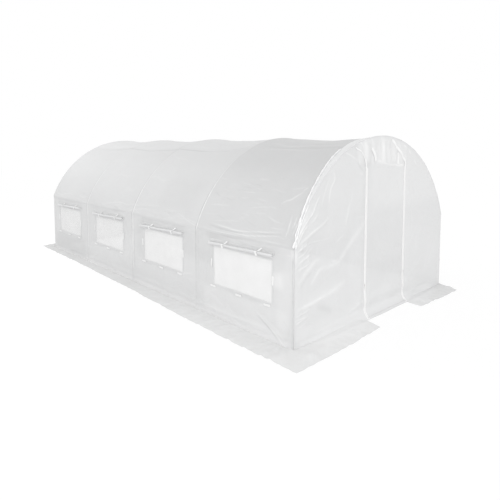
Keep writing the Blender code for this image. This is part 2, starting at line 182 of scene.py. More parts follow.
class Patchwork:
    """Gathers grids of points into one mesh."""

    def __init__(self) -> None:
        """Starts empty."""
        self._points: list[Array] = []
        self._faces: list[list[int]] = []
        self._cloth: list[Array] = []
        self._marks: list[Array] = []
        self._count = 0

    def grid(self, points: Array, cloth: Array | None = None, keep: Array | None = None,
             wrap: bool = False, caps: bool = False, facing: Way | None = None,
             mark: Array | None = None) -> "Patchwork":
        """Adds a grid of points as quads.

        Args:
            points: Shape (rows, columns, 3).
            cloth: Cloth coordinates in metres, with one more column if wrap is set.
            keep: Whether each cell stays; all do if None.
            wrap: Whether the last column joins the first, as round a tube.
            caps: Whether both end rows are closed with a flat face.
            facing: Where the front of an open sheet looks; a closed form turns outwards.
            mark: Stress whitening and painted highlight of the film at each point, up to 1, or painted shade,
                down to -1.

        Returns:
            This patchwork.
        """
        rows, columns = points.shape[:2]
        index = np.arange(rows * columns).reshape(rows, columns)
        if wrap:
            index = np.concatenate([index, index[:, :1]], axis=1)
        if cloth is None:
            cloth = np.zeros((*index.shape, 2))
        quads, maps = (np.stack([a[:-1, :-1], a[:-1, 1:], a[1:, 1:], a[1:, :-1]], 2) for a in (index, cloth))
        chosen = np.ones(quads.shape[:2], bool) if keep is None else keep
        quads, maps = quads[chosen], maps[chosen]
        flat = points.reshape(-1, 3)
        a, b, c, d = (flat[quads[:, k]] for k in range(4))
        normal = np.cross(c - a, d - b)
        centre = (a + b + c + d) / 4
        way = centre - flat.mean(0) if facing is None else np.asarray(facing, float)
        if np.sum(normal * way) < 0.0:
            quads, maps = quads[:, ::-1], maps[:, ::-1]
        self._cloth.append(maps.reshape(-1, 2))
        self._faces += (quads + self._count).tolist()
        if caps:
            for ring, inner in ((index[0], points[1]), (index[-1], points[-2])):
                loop = ring[:columns]
                p = flat[loop]
                turn = np.cross(p - p.mean(0), np.roll(p, -1, axis=0) - p.mean(0)).sum(0)
                if turn @ (p.mean(0) - inner.mean(0)) < 0.0:
                    loop = loop[::-1]
                self._faces.append((loop + self._count).tolist())
                self._cloth.append(np.zeros((columns, 2)))
        self._points.append(flat)
        self._marks.append(np.zeros(len(flat)) if mark is None else np.clip(mark, -1.0, 1.0).ravel())
        self._count += len(flat)
        return self

    def strip(self, path: Array, across: Way, lift: Way, width: float, thick: float,
              section: Section = Section.FLAT, tips: float = 0.0, swell: Array | float = 1.0) -> "Patchwork":
        """Adds a closed strap, cord or tube: an oval section carried along a path.

        Ring point = path + a * across + b * lift, where a and b follow a superellipse of
        half width and half thickness: a = w |cos|^e, b = h |sin|^e with their signs.

        Args:
            path: Centre line, shape (n, 3).
            across: Width direction, shape (3,) or (n, 3).
            lift: Thickness direction, shape (3,) or (n, 3).
            width: Full width.
            thick: Full thickness.
            section: Round or flat outline.
            tips: Length over which both ends close in.
            swell: Factor on the section at each point.

        Returns:
            This patchwork.
        """
        a, b = oval(section.value, RING, 1)
        run = run_along(path)
        close = np.ones(len(path))
        if tips > 0.0:
            near = np.clip(np.minimum(run, run[-1] - run) / tips, 0.0, 1.0)
            close = 0.25 + 0.75 * np.sqrt(1.0 - (1.0 - near) ** 2)
        grown = np.broadcast_to(swell, len(path))
        across, lift = np.broadcast_to(across, path.shape), np.broadcast_to(lift, path.shape)
        wide, high = (close * grown)[:, None] * (a * width / 2), grown[:, None] * (b * thick / 2)
        rings = path[:, None] + wide[..., None] * across[:, None] + high[..., None] * lift[:, None]
        return self.grid(rings[:, :RING], stacked(run[:, None], wide + width / 2), wrap=True, caps=True)

    def copies(self, block: Array, faces: Array, places: Array) -> "Patchwork":
        """Adds one small block at each place.

        Args:
            block: Points of one block, shape (k, 3).
            faces: Its quads, shape (m, 4), pointing out.
            places: Where each copy goes, shape (n, 3).

        Returns:
            This patchwork.
        """
        points = (block[None] + places[:, None]).reshape(-1, 3)
        quads = (faces[None] + len(block) * np.arange(len(places))[:, None, None]).reshape(-1, 4)
        self._faces += (quads + self._count).tolist()
        self._cloth.append(np.zeros((quads.size, 2)))
        self._points.append(points)
        self._marks.append(np.zeros(len(points)))
        self._count += len(points)
        return self

    def build(self, name: str, material: Material, *replaces: str, slot: str = "film",
              body: str | None = ROOT, sharp: float | None = None) -> Object:
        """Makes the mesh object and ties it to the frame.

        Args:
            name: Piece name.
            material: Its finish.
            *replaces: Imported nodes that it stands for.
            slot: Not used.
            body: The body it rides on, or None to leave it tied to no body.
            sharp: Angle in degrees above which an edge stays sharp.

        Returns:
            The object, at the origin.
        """
        mesh = bpy.data.meshes.new(name)
        mesh.from_pydata(np.concatenate(self._points).tolist(), [], self._faces)
        layer = mesh.uv_layers.new(name="cloth")
        layer.data.foreach_set("uv", np.concatenate(self._cloth).astype(np.float32).ravel())
        # The fold attribute carries the marks: stress whitening and painted highlight above 0, painted shade
        # below 0.
        fold = mesh.attributes.new("fold", "FLOAT", "POINT")
        fold.data.foreach_set("value", np.concatenate(self._marks).astype(np.float32))
        mesh.shade_smooth()
        if sharp is not None:
            mesh.set_sharp_from_angle(angle=math.radians(sharp))
        mesh.materials.append(material)
        piece = added(name, mesh)
        if body is not None:
            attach(piece, body)
        if replaces:
            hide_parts(*replaces)
        LOG.info("%s: %d faces on %s", name, len(mesh.polygons), body)
        return piece


@dataclass
class Graph:
    """Short calls for placing and wiring nodes in one tree."""

    tree: NodeTree

    def feed(self, socket: NodeSocket, value: object) -> None:
        """Links an output to the socket, or sets a constant on it."""
        if isinstance(value, NodeSocket):
            self.tree.links.new(value, socket)
        else:
            socket.default_value = value

    def feeds(self, node: Node, inputs: dict[str, object]) -> None:
        """Feeds sockets by name, where an underscore stands for a space."""
        for key, value in inputs.items():
            self.feed(node.inputs[key.replace("_", " ")], value)

    def node(self, kind: str, inputs: dict | None = None, **settings: object) -> Node:
        """Places a node.

        Args:
            kind: Its type without the ShaderNode prefix.
            inputs: Socket name or number, with an output or a constant for it.
            **settings: Properties of the node.

        Returns:
            The node.
        """
        made = self.tree.nodes.new("ShaderNode" + kind)
        for key, value in settings.items():
            setattr(made, key, value)
        for key, value in (inputs or {}).items():
            self.feed(made.inputs[key], value)
        return made

    def math(self, operation: str, *values: object, clamp: bool = False) -> NodeSocket:
        """One Math node's result."""
        return self.node("Math", dict(enumerate(values)), operation=operation, use_clamp=clamp).outputs[0]

    def times(self, value: object, factor: object) -> NodeSocket:
        """The product of two numbers."""
        return self.math("MULTIPLY", value, factor)

    def span(self, value: object, low: float, high: float, to_low: float = 0.0, to_high: float = 1.0,
             smooth: bool = False) -> NodeSocket:
        """Maps low..high onto to_low..to_high, held at both ends."""
        values = dict(enumerate((value, low, high, to_low, to_high)))
        kind = "SMOOTHSTEP" if smooth else "LINEAR"
        return self.node("MapRange", values, interpolation_type=kind).outputs[0]

    def noise(self, vector: object, scale: object, detail: float = 2.0,
              rough: float = 0.5) -> NodeSocket:
        """Noise from 0 to 1."""
        made = self.node("TexNoise", {"Vector": vector, "Scale": scale, "Detail": detail, "Roughness": rough})
        return made.outputs["Fac"]

    def mix(self, factor: object, a: object, b: object) -> NodeSocket:
        """Colour a at factor 0 and b at factor 1."""
        return self.node("Mix", {0: factor, 6: a, 7: b}, data_type="RGBA").outputs[2]

    def shade(self, colour: object, factor: object) -> NodeSocket:
        """A colour or a vector times a number."""
        return self.node("VectorMath", {0: colour, "Scale": factor}, operation="SCALE").outputs[0]

    def axis(self, vector: object, name: str) -> NodeSocket:
        """One coordinate of a vector, by its letter."""
        return self.node("SeparateXYZ", {0: vector}).outputs[name]

    def rays(self, *kinds: str) -> NodeSocket:
        """Tells kinds of light rays apart.

        Args:
            *kinds: Names as in the Light Path node, such as Camera.

        Returns:
            1 for rays of any of the kinds and 0 for all others.
        """
        path = self.node("LightPath")
        seen = path.outputs[f"Is {kinds[0]} Ray"]
        for kind in kinds[1:]:
            seen = self.math("MAXIMUM", seen, path.outputs[f"Is {kind} Ray"])
        return seen

    def group(self, tree: NodeTree, **inputs: object) -> NodeOutputs:
        """Places a group, feeds its inputs and gives its outputs."""
        made = self.node("Group", None, node_tree=tree)
        self.feeds(made, inputs)
        return made.outputs

    def dress(self, shader: Node, height: object, distance: float, strength: float,
              **inputs: object) -> None:
        """Feeds a shader's sockets, and its normal from a height.

        Args:
            shader: The shader of this tree.
            height: Height of the bump, from 0 to about 1.
            distance: What a height of 1 stands for, in metres.
            strength: How far the bump turns the normal.
            **inputs: The other sockets, each with an output or a constant.
        """
        bump = self.node("Bump", {"Height": height, "Distance": distance, "Strength": strength})
        self.feeds(shader, {"Normal": bump.outputs["Normal"], **inputs})


def node_group(name: str, fill: Callable[..., dict[str, NodeSocket]], **inputs: float | None) -> NodeTree:
    """Makes a shader node group.

    Args:
        name: Group name.
        fill: Places its nodes from a graph and the inputs, and returns the outputs by name.
        **inputs: Each input's default number, or None for a vector.

    Returns:
        The group.
    """
    tree = bpy.data.node_groups.new(name, "ShaderNodeTree")
    for label, value in inputs.items():
        kind = "NodeSocketVector" if value is None else "NodeSocketFloat"
        socket = tree.interface.new_socket(name=label.capitalize(), in_out="INPUT", socket_type=kind)
        if value is not None:
            socket.default_value = value
    g = Graph(tree)
    results = fill(g, **dict(zip(inputs, tree.nodes.new("NodeGroupInput").outputs)))
    for label in results:
        tree.interface.new_socket(name=label, in_out="OUTPUT", socket_type="NodeSocketFloat")
    g.feeds(tree.nodes.new("NodeGroupOutput"), results)
    return tree


class Effects:
    """The shader effects that several finishes share, each one node group."""

    def __init__(self) -> None:
        """Builds every group once."""
        self.crinkle = node_group("crinkle", self._crinkle, vector=None, scale=6.0, sharpness=7.0)
        self.hoop_light = node_group("hoop_painted_light", self._hoop_light, vector=None, pitch=1.5, half=0.012)
        self.low_dust_and_shade = node_group("low_dust_and_shade", self._low_dust_and_shade, vector=None, reach=0.05)
        self.weave = node_group("weave", self._weave, vector=None, pitch=0.002, cover=0.5)
        self.stitches = node_group("stitches", self._stitches, vector=None, width=0.02, inset=0.003,
                                   pitch=0.005)
        self.spangle = node_group("spangle", self._spangle, vector=None, scale=120.0)

    @staticmethod
    def _crinkle(g: Graph, vector: NodeSocket, scale: NodeSocket, sharpness: NodeSocket) -> dict:
        """Crumpled film: thin ridges where two noises pass one half, on slow mottling.

        Args:
            g: The group's nodes.
            vector: Place in metres.
            scale: Fineness of the wider ridges.
            sharpness: Power that thins every ridge.

        Returns:
            Height of the ridges and tone of the mottling.
        """
        warp = g.node("TexNoise", {"Vector": vector, "Scale": 1.7, "Detail": 1.0}).outputs["Color"]
        moved = g.node("VectorMath", {0: vector, 1: g.shade(warp, 0.35)}, operation="ADD").outputs[0]
        ridges = []
        for ratio, detail in ((1.0, 0.0), (2.9, 1.0)):
            n = g.noise(moved, g.times(scale, ratio), detail)
            fold = g.math("SUBTRACT", 1.0, g.math("ABSOLUTE", g.math("MULTIPLY_ADD", n, 2.0, -1.0)))
            ridges.append(g.math("POWER", fold, sharpness))
        return {"Height": g.math("MULTIPLY_ADD", ridges[1], 0.35, g.times(ridges[0], 0.65)),
                "Tone": g.noise(vector, g.times(scale, 0.22), 3.0, 0.55)}

    @staticmethod
    def _hoop_light(g: Graph, vector: NodeSocket, pitch: NodeSocket, half: NodeSocket) -> dict:
        """Painted light where the film lies over a hoop: a thin painted highlight on the door's side of it
        and a painted shade line behind.

        The hoops stand at each multiple of the pitch along Y. Both lines are strongest
        by the shoulder, fade over the crown and down the wall, and break up by a noise.

        Args:
            g: The group's nodes.
            vector: Place in metres.
            pitch: From one hoop to the next.
            half: Half the width of a hoop's tube.

        Returns:
            Strength of the painted highlight and of the painted shade line.
        """
        bay = g.math("DIVIDE", g.axis(vector, "Y"), pitch)
        away = g.times(g.math("SUBTRACT", bay, g.math("ROUND", bay)), pitch)
        z = g.axis(vector, "Z")
        above = g.span(z, 1.10, 1.75, 1.0, 0.22, smooth=True)
        fade = g.times(above, g.span(z, 0.0, 0.95, 0.35, 1.0))
        broken = g.span(g.noise(vector, 14.0, 2.0), 0.35, 0.6, 0.35, 1.0)
        strength, lines = g.times(fade, broken), {}
        for label, seat in (("Lit", -0.6), ("Shaded", 0.9)):
            off = g.math("ABSOLUTE", g.math("SUBTRACT", g.math("DIVIDE", away, half), seat))
            lines[label] = g.times(g.span(off, 0.20, 1.00, 1.0, 0.0, smooth=True), strength)
        return lines

    @staticmethod
    def _low_dust_and_shade(g: Graph, vector: NodeSocket, reach: NodeSocket) -> dict:
        """Dust that settles low down, and painted contact shade at the ground: a noisy mask that fades out
        with height.
        """
        low = g.span(g.math("DIVIDE", g.axis(vector, "Z"), reach), 0.0, 1.0, 1.0, 0.0, smooth=True)
        patch = g.span(g.noise(vector, 7.0, 4.0, 0.6), 0.35, 0.7)
        return {"Mask": g.times(low, g.math("MULTIPLY_ADD", patch, 0.7, 0.3))}

    @staticmethod
    def _weave(g: Graph, vector: NodeSocket, pitch: NodeSocket, cover: NodeSocket) -> dict:
        """Crossing threads: |sin| of both cloth coordinates, and the gaps between them.

        Args:
            g: The group's nodes.
            vector: Cloth coordinates in metres.
            pitch: From one thread to the next.
            cover: Share of the wave that counts as thread.

        Returns:
            Height of the threads, and where there is thread.
        """
        waves = []
        for axis in ("X", "Y"):
            turn = g.times(g.math("DIVIDE", g.axis(vector, axis), pitch), math.pi)
            waves.append(g.math("ABSOLUTE", g.math("SINE", turn)))
        top = g.math("MAXIMUM", *waves)
        over = g.math("SUBTRACT", top, g.math("SUBTRACT", 1.0, cover))
        return {"Height": top, "Thread": g.math("MULTIPLY_ADD", over, 6.0, 0.5, clamp=True)}

    @staticmethod
    def _stitches(g: Graph, vector: NodeSocket, width: NodeSocket, inset: NodeSocket,
                  pitch: NodeSocket) -> dict:
        """Dashed sewing lines along both edges of a strap.

        Args:
            g: The group's nodes.
            vector: Cloth coordinates along and across the strap.
            width: Of the strap.
            inset: From each edge to its line.
            pitch: From one stitch to the next.

        Returns:
            Where thread shows, and how far the strap sinks beside it.
        """
        half = g.times(width, 0.5)
        side = g.math("ABSOLUTE", g.math("SUBTRACT", g.axis(vector, "Y"), half))
        away = g.math("ABSOLUTE", g.math("SUBTRACT", side, g.math("SUBTRACT", half, inset)))
        line = g.span(away, 0.0004, 0.0009, 1.0, 0.0)
        dash = g.span(g.math("FRACT", g.math("DIVIDE", g.axis(vector, "X"), pitch)), 0.62, 0.7, 1.0, 0.0)
        return {"Mask": g.times(line, dash),
                "Sink": g.span(away, 0.0, 0.0018, 1.0, 0.0, smooth=True)}

    @staticmethod
    def _spangle(g: Graph, vector: NodeSocket, scale: NodeSocket) -> dict:
        """Zinc crystals: a flat random tone in each Voronoi cell, and an even fine grain over them."""
        cells = g.node("TexVoronoi", {"Vector": vector, "Scale": scale}).outputs["Color"]
        return {"Tone": g.node("SeparateColor", {0: cells}).outputs[0],
                "Grain": g.noise(vector, g.times(scale, 4.0), 2.0, 0.7)}


def blank_material(name: str) -> tuple[Material, Graph, Node]:
    """A new material with its graph and Principled shader."""
    material = bpy.data.materials.new(name)
    material.use_nodes = True
    return material, Graph(material.node_tree), material.node_tree.nodes["Principled BSDF"]


def grey(level: float, warm: float = 0.0) -> tuple[float, float, float, float]:
    """A neutral colour, a little warmer above 0 and cooler below it."""
    return (level * (1.0 + warm), level, level * (1.0 - warm), 1.0)


@dataclass(frozen=True)
class FilmFinish:
    """Milky polyethylene film, which lets light through although little can be seen behind it."""

    name: str
    level: float
    opacity: float = 0.95
    opacity_to_light: float = 0.5
    roughness: float = 0.36
    crinkle_scale: float = 5.0
    crinkle_depth: float = 0.0022
    gloss: float = 0.5
    lit: float = 0.0
    lit_near: float = 0.0
    shaded: float = 0.0
    fold_shade: float = 0.14
    dust: float = 0.10
    dust_reach: float = 0.05
    seat: float = 0.012

    def make(self, effects: Effects) -> Material:
        """Mottled, crinkled film, with stress whitening and painted highlights along its folds, painted shade
        by its marks, painted highlights and shade at the hoops, and dust that also paints contact shade at
        the ground.

        Args:
            effects: The shared node groups.

        Returns:
            The material.
        """
        material, g, shader = blank_material(self.name)
        place = g.node("TexCoord").outputs["Object"]
        # Marks from the mesh: stress whitening and painted highlight above 0, painted shade below 0.
        fold = g.node("Attribute", attribute_name="fold").outputs["Fac"]
        folds = g.group(effects.crinkle, Vector=place, Scale=self.crinkle_scale)
        hoop_lines = g.group(effects.hoop_light, Vector=place, Half=self.seat)
        dust_and_shade_mask = g.group(effects.low_dust_and_shade, Vector=place, Reach=self.dust_reach)["Mask"]
        tone = g.span(folds["Tone"], 0.3, 0.7, 0.985, 1.015)
        # Painted shade beside each hoop.
        tone = g.times(tone, g.math("MULTIPLY_ADD", hoop_lines["Shaded"], -self.shaded, 1.0))
        # Painted shade where the marks fall below 0.
        tone = g.times(tone, g.span(fold, -1.0, 0.0, 1.0 - self.fold_shade, 1.0))
        clean = g.shade(grey(self.level, -0.004)[:3], tone)
        # Strength of the hoops' painted highlight, from lit_near at the door end to lit further back.
        nearness = g.span(g.axis(place, "Y"), -1.3, -0.2, self.lit_near, self.lit)
        # Mixed towards white by the marks' stress whitening and painted highlight, and by the painted
        # highlight along the hoops.
        white = g.math("MAXIMUM", fold, g.times(hoop_lines["Lit"], nearness))
        clean = g.mix(white, clean, grey(0.97))
        # Dust colour low down, which also stands for painted contact shade at the ground.
        dusted_and_shaded = g.mix(g.times(dust_and_shade_mask, self.dust), clean, (0.36, 0.34, 0.30, 1.0))
        rough = g.span(folds["Tone"], 0.3, 0.7, self.roughness - 0.05, self.roughness + 0.07)
        alpha = g.span(g.rays("Shadow", "Diffuse"), 0.0, 1.0, self.opacity, self.opacity_to_light)
        g.dress(shader, folds["Height"], self.crinkle_depth, 1.0, Base_Color=dusted_and_shaded, Roughness=rough,
                Alpha=alpha, Specular_IOR_Level=self.gloss)
        return material


@dataclass(frozen=True)
class NetFinish:
    """Fine insect net: thin white threads with open gaps."""

    name: str = "insect_net"
    level: float = 0.90
    pitch: float = 0.0035
    open_alpha: float = 0.80

    def make(self, effects: Effects) -> Material:
        """Threads from the weave group, with the gaps nearly clear.

        Args:
            effects: The shared node groups.

        Returns:
            The material.
        """
        material, g, shader = blank_material(self.name)
        cloth = g.node("UVMap", uv_map="cloth").outputs["UV"]
        net = g.group(effects.weave, Vector=cloth, Pitch=self.pitch, Cover=0.16)
        place = g.node("TexCoord").outputs["Object"]
        tone = g.span(g.noise(place, 9.0, 3.0), 0.3, 0.7, 0.98, 1.02)
        alpha = g.span(net["Thread"], 0.0, 1.0, self.open_alpha, 1.0)
        g.dress(shader, net["Height"], 0.0004, 0.6, Base_Color=g.shade(grey(self.level)[:3], tone),
                Alpha=alpha, Roughness=0.6)
        return material


@dataclass(frozen=True)
class WebbingFinish:
    """Woven white tape with sewing lines along both edges."""

    name: str
    width: float
    level: float = 0.93
    inset: float = 0.003
    pitch: float = 0.0016

    def make(self, effects: Effects) -> Material:
        """A tight weave, sunk along its stitches.

        Args:
            effects: The shared node groups.

        Returns:
            The material.
        """
        material, g, shader = blank_material(self.name)
        cloth = g.node("UVMap", uv_map="cloth").outputs["UV"]
        weave = g.group(effects.weave, Vector=cloth, Pitch=self.pitch, Cover=0.5)
        sewn = g.group(effects.stitches, Vector=cloth, Width=self.width, Inset=self.inset)
        place = g.node("TexCoord").outputs["Object"]
        tone = g.span(g.noise(place, 30.0, 3.0), 0.3, 0.7, 0.985, 1.01)
        cloth_tone = g.times(tone, g.span(weave["Height"], 0.4, 1.0, 0.96, 1.0))
        thread = g.mix(sewn["Mask"], g.shade(grey(self.level)[:3], cloth_tone), grey(0.90))
        height = g.math("MULTIPLY_ADD", sewn["Sink"], -1.2, weave["Height"])
        height = g.math("MULTIPLY_ADD", sewn["Mask"], 1.5, height)
        g.dress(shader, height, 0.0003, 0.8, Base_Color=thread, Roughness=0.75, Sheen_Weight=0.15)
        return material


@dataclass(frozen=True)
class SteelFinish:
    """Galvanised tube: zinc crystals, dull patches and a fine grain."""

    name: str = "galvanised_tube"
    level: float = 0.56

    def make(self, effects: Effects) -> Material:
        """Metal whose tone and roughness follow the crystals.

        Args:
            effects: The shared node groups.

        Returns:
            The material.
        """
        material, g, shader = blank_material(self.name)
        place = g.node("TexCoord").outputs["Object"]
        zinc = g.group(effects.spangle, Vector=place, Scale=90.0)
        dull = g.span(g.noise(place, 6.0, 4.0, 0.6), 0.4, 0.65)
        tone = g.span(zinc["Tone"], 0.0, 1.0, 0.86, 1.10)
        tone = g.times(tone, g.math("MULTIPLY_ADD", dull, -0.12, 1.0))
        rough = g.math("MULTIPLY_ADD", dull, 0.14, g.span(zinc["Tone"], 0.0, 1.0, 0.28, 0.44))
        colour = g.shade(grey(self.level, -0.01)[:3], tone)
        g.dress(shader, zinc["Grain"], 0.0001, 0.3, Base_Color=colour, Roughness=rough, Metallic=0.9)
        return material


@dataclass(frozen=True)
class EnamelFinish:
    """Moulded or painted small hardware with worn edges."""

    name: str
    level: float
    roughness: float = 0.42
    metallic: float = 0.0

    def make(self) -> Material:
        """A fine grain with slightly brighter worn spots.

        Returns:
            The material.
        """
        material, g, shader = blank_material(self.name)
        place = g.node("TexCoord").outputs["Object"]
        grain = g.noise(place, 900.0, 2.0)
        worn = g.span(g.noise(place, 160.0, 3.0, 0.6), 0.55, 0.75)
        tone = g.math("MULTIPLY_ADD", worn, 0.05, g.span(grain, 0.3, 0.7, 0.97, 1.01))
        rough = g.span(worn, 0.0, 1.0, self.roughness, self.roughness - 0.1)
        g.dress(shader, grain, 0.0001, 0.4, Base_Color=g.shade(grey(self.level, 0.005)[:3], tone),
                Roughness=rough, Metallic=self.metallic)
        return material


class Finishes:
    """Every material of the tunnel, made once."""

    def __init__(self) -> None:
        """Makes the shared effects and then each finish."""
        effects = Effects()
        # The roof, wall, end and flap are one film; their levels differ as painted light and shade, set to
        # how brightly each face shows, with the roof darkest and the flap lightest.
        self.roof = FilmFinish("film_roof", 0.74, roughness=0.46, lit=0.95, lit_near=0.95,
                               shaded=0.22).make(effects)
        self.wall = FilmFinish("film_wall", 0.76, lit=1.0, lit_near=0.1, shaded=0.16,
                               seat=0.017).make(effects)
        self.end = FilmFinish("film_end", 0.80, dust_reach=0.03).make(effects)
        self.flap = FilmFinish("film_flap", 0.93, opacity=0.80, roughness=0.6, gloss=0.1, crinkle_depth=0.003,
                               fold_shade=0.30, dust=0.12, dust_reach=0.02).make(effects)
        self.lap = FilmFinish("film_lap", 0.90).make(effects)
        self.roll = FilmFinish("film_roll", 0.78, opacity=1.0, opacity_to_light=0.04, crinkle_scale=16.0,
                               crinkle_depth=0.0015).make(effects)
        self.hem = FilmFinish("film_hem", 0.78, opacity=0.97, crinkle_scale=14.0,
                              crinkle_depth=0.001).make(effects)
        self.rope = FilmFinish("film_bunched", 0.97, opacity=1.0, crinkle_scale=26.0,
                               crinkle_depth=0.002).make(effects)
        self.net = NetFinish().make(effects)
        self.tape = WebbingFinish("zip_tape", 0.020, 0.99, inset=0.0025).make(effects)
        self.tie = WebbingFinish("tie_webbing", 0.026, 0.98).make(effects)
        self.tab = WebbingFinish("tab_webbing", 0.022, 0.97).make(effects)
        self.teeth = EnamelFinish("zip_teeth", 0.95).make()
        self.slider = EnamelFinish("slider_enamel", 0.80, 0.35, 0.2).make()
        self.steel = SteelFinish().make(effects)


@dataclass(frozen=True)
class Cover:
    """Driving sizes of the film cover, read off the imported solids."""

    half_width: float
    half_length: float
    apex: float
    wall_x: float
    foot: float
    end_y: float
    shoulder: float = 0.96
    lap: float = 0.024
    bay: float = 1.5
    bays: tuple[float, ...] = (2.25, 0.75, -0.75, -2.25)

    @classmethod
    def from_frame(cls) -> "Cover":
        """Reads the boxes of the roof, a side wall and the rear wall."""
        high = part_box("roof_sheet")[1]
        wall_low, wall_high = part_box("side_wall_right")
        return cls(high.x, high.y, high.z, wall_high.x, wall_low.z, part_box("rear_wall")[1].y)

    @property
    def radius(self) -> float:
        """Radius of the arc through both shoulders and the apex."""
        rise = self.apex - self.shoulder
        return (self.half_width**2 + rise**2) / (2.0 * rise)

    @property
    def centre_z(self) -> float:
        """Height of the arc's centre."""
        return self.apex - self.radius

    @property
    def half_arc(self) -> float:
        """Length along the arc from the crown to one shoulder."""
        return self.radius * math.asin(self.half_width / self.radius)

    def top(self, x: Array) -> Array:
        """Height of the arch over x: centre + sqrt(radius squared - x squared)."""
        return self.centre_z + np.sqrt(np.maximum(self.radius**2 - x**2, 0.0))

    def over_arch(self, girth: Array, out: Array) -> tuple[Array, Array]:
        """X and Z of a place on the roof.

        Args:
            girth: Distance along the arc from the crown, positive to the right.
            out: Distance outside the arc.

        Returns:
            On the arc (radius + out) times sine and cosine; past the shoulder straight down.
        """
        turn = np.clip(girth, -self.half_arc, self.half_arc) / self.radius
        past = np.abs(girth) - self.half_arc
        x = (self.radius + out) * np.sin(turn)
        z = self.centre_z + (self.radius + out) * np.cos(turn)
        side = np.sign(girth) * (self.half_width + out)
        hangs = past > 0.0
        return np.where(hangs, side, x), np.where(hangs, self.shoulder - past, z)

    def between_hoops(self, y: Array) -> Array:
        """4 t (1 - t) for the place t within a bay: 0 at each hoop and 1 midway."""
        t = np.mod(y / self.bay, 1.0)
        return 4.0 * t * (1.0 - t)

    def off_ends(self, y: Array, soft: float = 0.06) -> Array:
        """Rises smoothly from 0 at both ends of the tunnel to 1 over the soft length."""
        return ramp(self.half_length - np.abs(y), 0.0, soft)


class Relief:
    """A form over a sheet's own two directions: flat and unmarked unless its kind says more."""

    def __call__(self, s: Array, t: Array) -> Array:
        """Height of the form.

        Args:
            s: Places in the sheet's first direction, in metres.
            t: Places in its second direction.

        Returns:
            Height at each place, in metres.
        """
        return np.zeros_like(s)

    def mark(self, s: Array, t: Array) -> Array:
        """How far each place is whitened by stress and painted highlight, up to 1, or darkened by painted
        shade, down to -1.
        """
        return np.zeros_like(s)


@dataclass(frozen=True)
class Waves(Relief):
    """Slow undulation of slack film: the mean of seeded plane waves."""

    depth: float
    longest: float
    shortest: float
    seed: int
    count: int = 9
    bearing: float = 0.0
    spread: float = math.pi

    def __call__(self, s: Array, t: Array) -> Array:
        """Sum of sin(TAU * (s cos a + t sin a) / length + phase) / sqrt(count) * depth."""
        rng = np.random.default_rng(self.seed)
        angle = self.bearing + rng.uniform(-self.spread, self.spread, self.count)
        length = self.shortest * (self.longest / self.shortest) ** rng.random(self.count)
        phase = rng.uniform(0.0, TAU, self.count)
        run = s[..., None] * np.cos(angle) + t[..., None] * np.sin(angle)
        return self.depth * np.sin(TAU * run / length + phase).sum(-1) / math.sqrt(self.count)


@dataclass(frozen=True)
class Crease(Relief):
    """A fold pressed into film along a curve, in the sheet's own two directions."""

    points: tuple[Point, ...]
    depth: float = 0.006
    width: float = 0.035
    white: float = 0.0
    steep: float = 0.45

    @cached_property
    def curve(self) -> Array:
        """Places along the fold; two points leave it straight."""
        return smooth_path(self.points, 2 if len(self.points) == 2 else 7 * len(self.points))

    def _near(self, s: Array, t: Array) -> tuple[Array, Array, Array]:
        """Measures every place against the nearest stretch of the fold.

        Args:
            s: Places in the sheet's first direction.
            t: Places in its second direction.

        Returns:
            Which places are near, and their sin(pi * share of the way) and distance to the left.
        """
        curve = self.curve
        low, high = curve.min(0) - 5.0 * self.width, curve.max(0) + 5.0 * self.width
        close = (s > low[0]) & (s < high[0]) & (t > low[1]) & (t < high[1])
        step = np.diff(curve, axis=0)
        length = np.linalg.norm(step, axis=1)
        way = step / length[:, None]
        to = np.stack([s[close], t[close]], -1)[:, None] - curve[:-1]
        along = np.clip(np.sum(to * way, -1), 0.0, length)
        far = np.linalg.norm(to - along[..., None] * way, axis=-1)
        best = np.arange(len(far)), np.argmin(far, axis=1)
        run = (np.cumsum(length) - length + along)[best] / length.sum()
        left = (way[:, 0] * to[..., 1] - way[:, 1] * to[..., 0])[best]
        return close, np.sin(math.pi * run), np.copysign(far[best], left)

    def __call__(self, s: Array, t: Array) -> Array:
        """Depth times a rounded tent across the line, steeper on its right, times its fade."""
        close, fade, b = self._near(s, t)
        width = np.where(b > 0.0, self.width, self.width * self.steep)
        out = np.zeros_like(s)
        tent = np.exp(0.2 - np.sqrt((b / width) ** 2 + 0.04))
        out[close] = self.depth * tent * np.clip(fade, 0.0, 1.0) ** 0.7
        return out

    def mark(self, s: Array, t: Array) -> Array:
        """A narrow painted line along the crest: stress whitening and painted highlight above 0, painted
        shade below 0.
        """
        out = np.zeros_like(s)
        if self.white:
            close, fade, b = self._near(s, t)
            out[close] = self.white * bell(b, 0.0, 0.4 * self.width) * np.clip(fade, 0.0, 1.0) ** 0.5
        return out


def drawn(*rows: tuple) -> tuple[Crease, ...]:
    """Creases given one by one: each row has the depth, width and painted light (stress whitening and painted
    highlight above 0, painted shade below 0), then the curve's points.
    """
    return tuple(Crease(row[3:], *row[:3]) for row in rows)


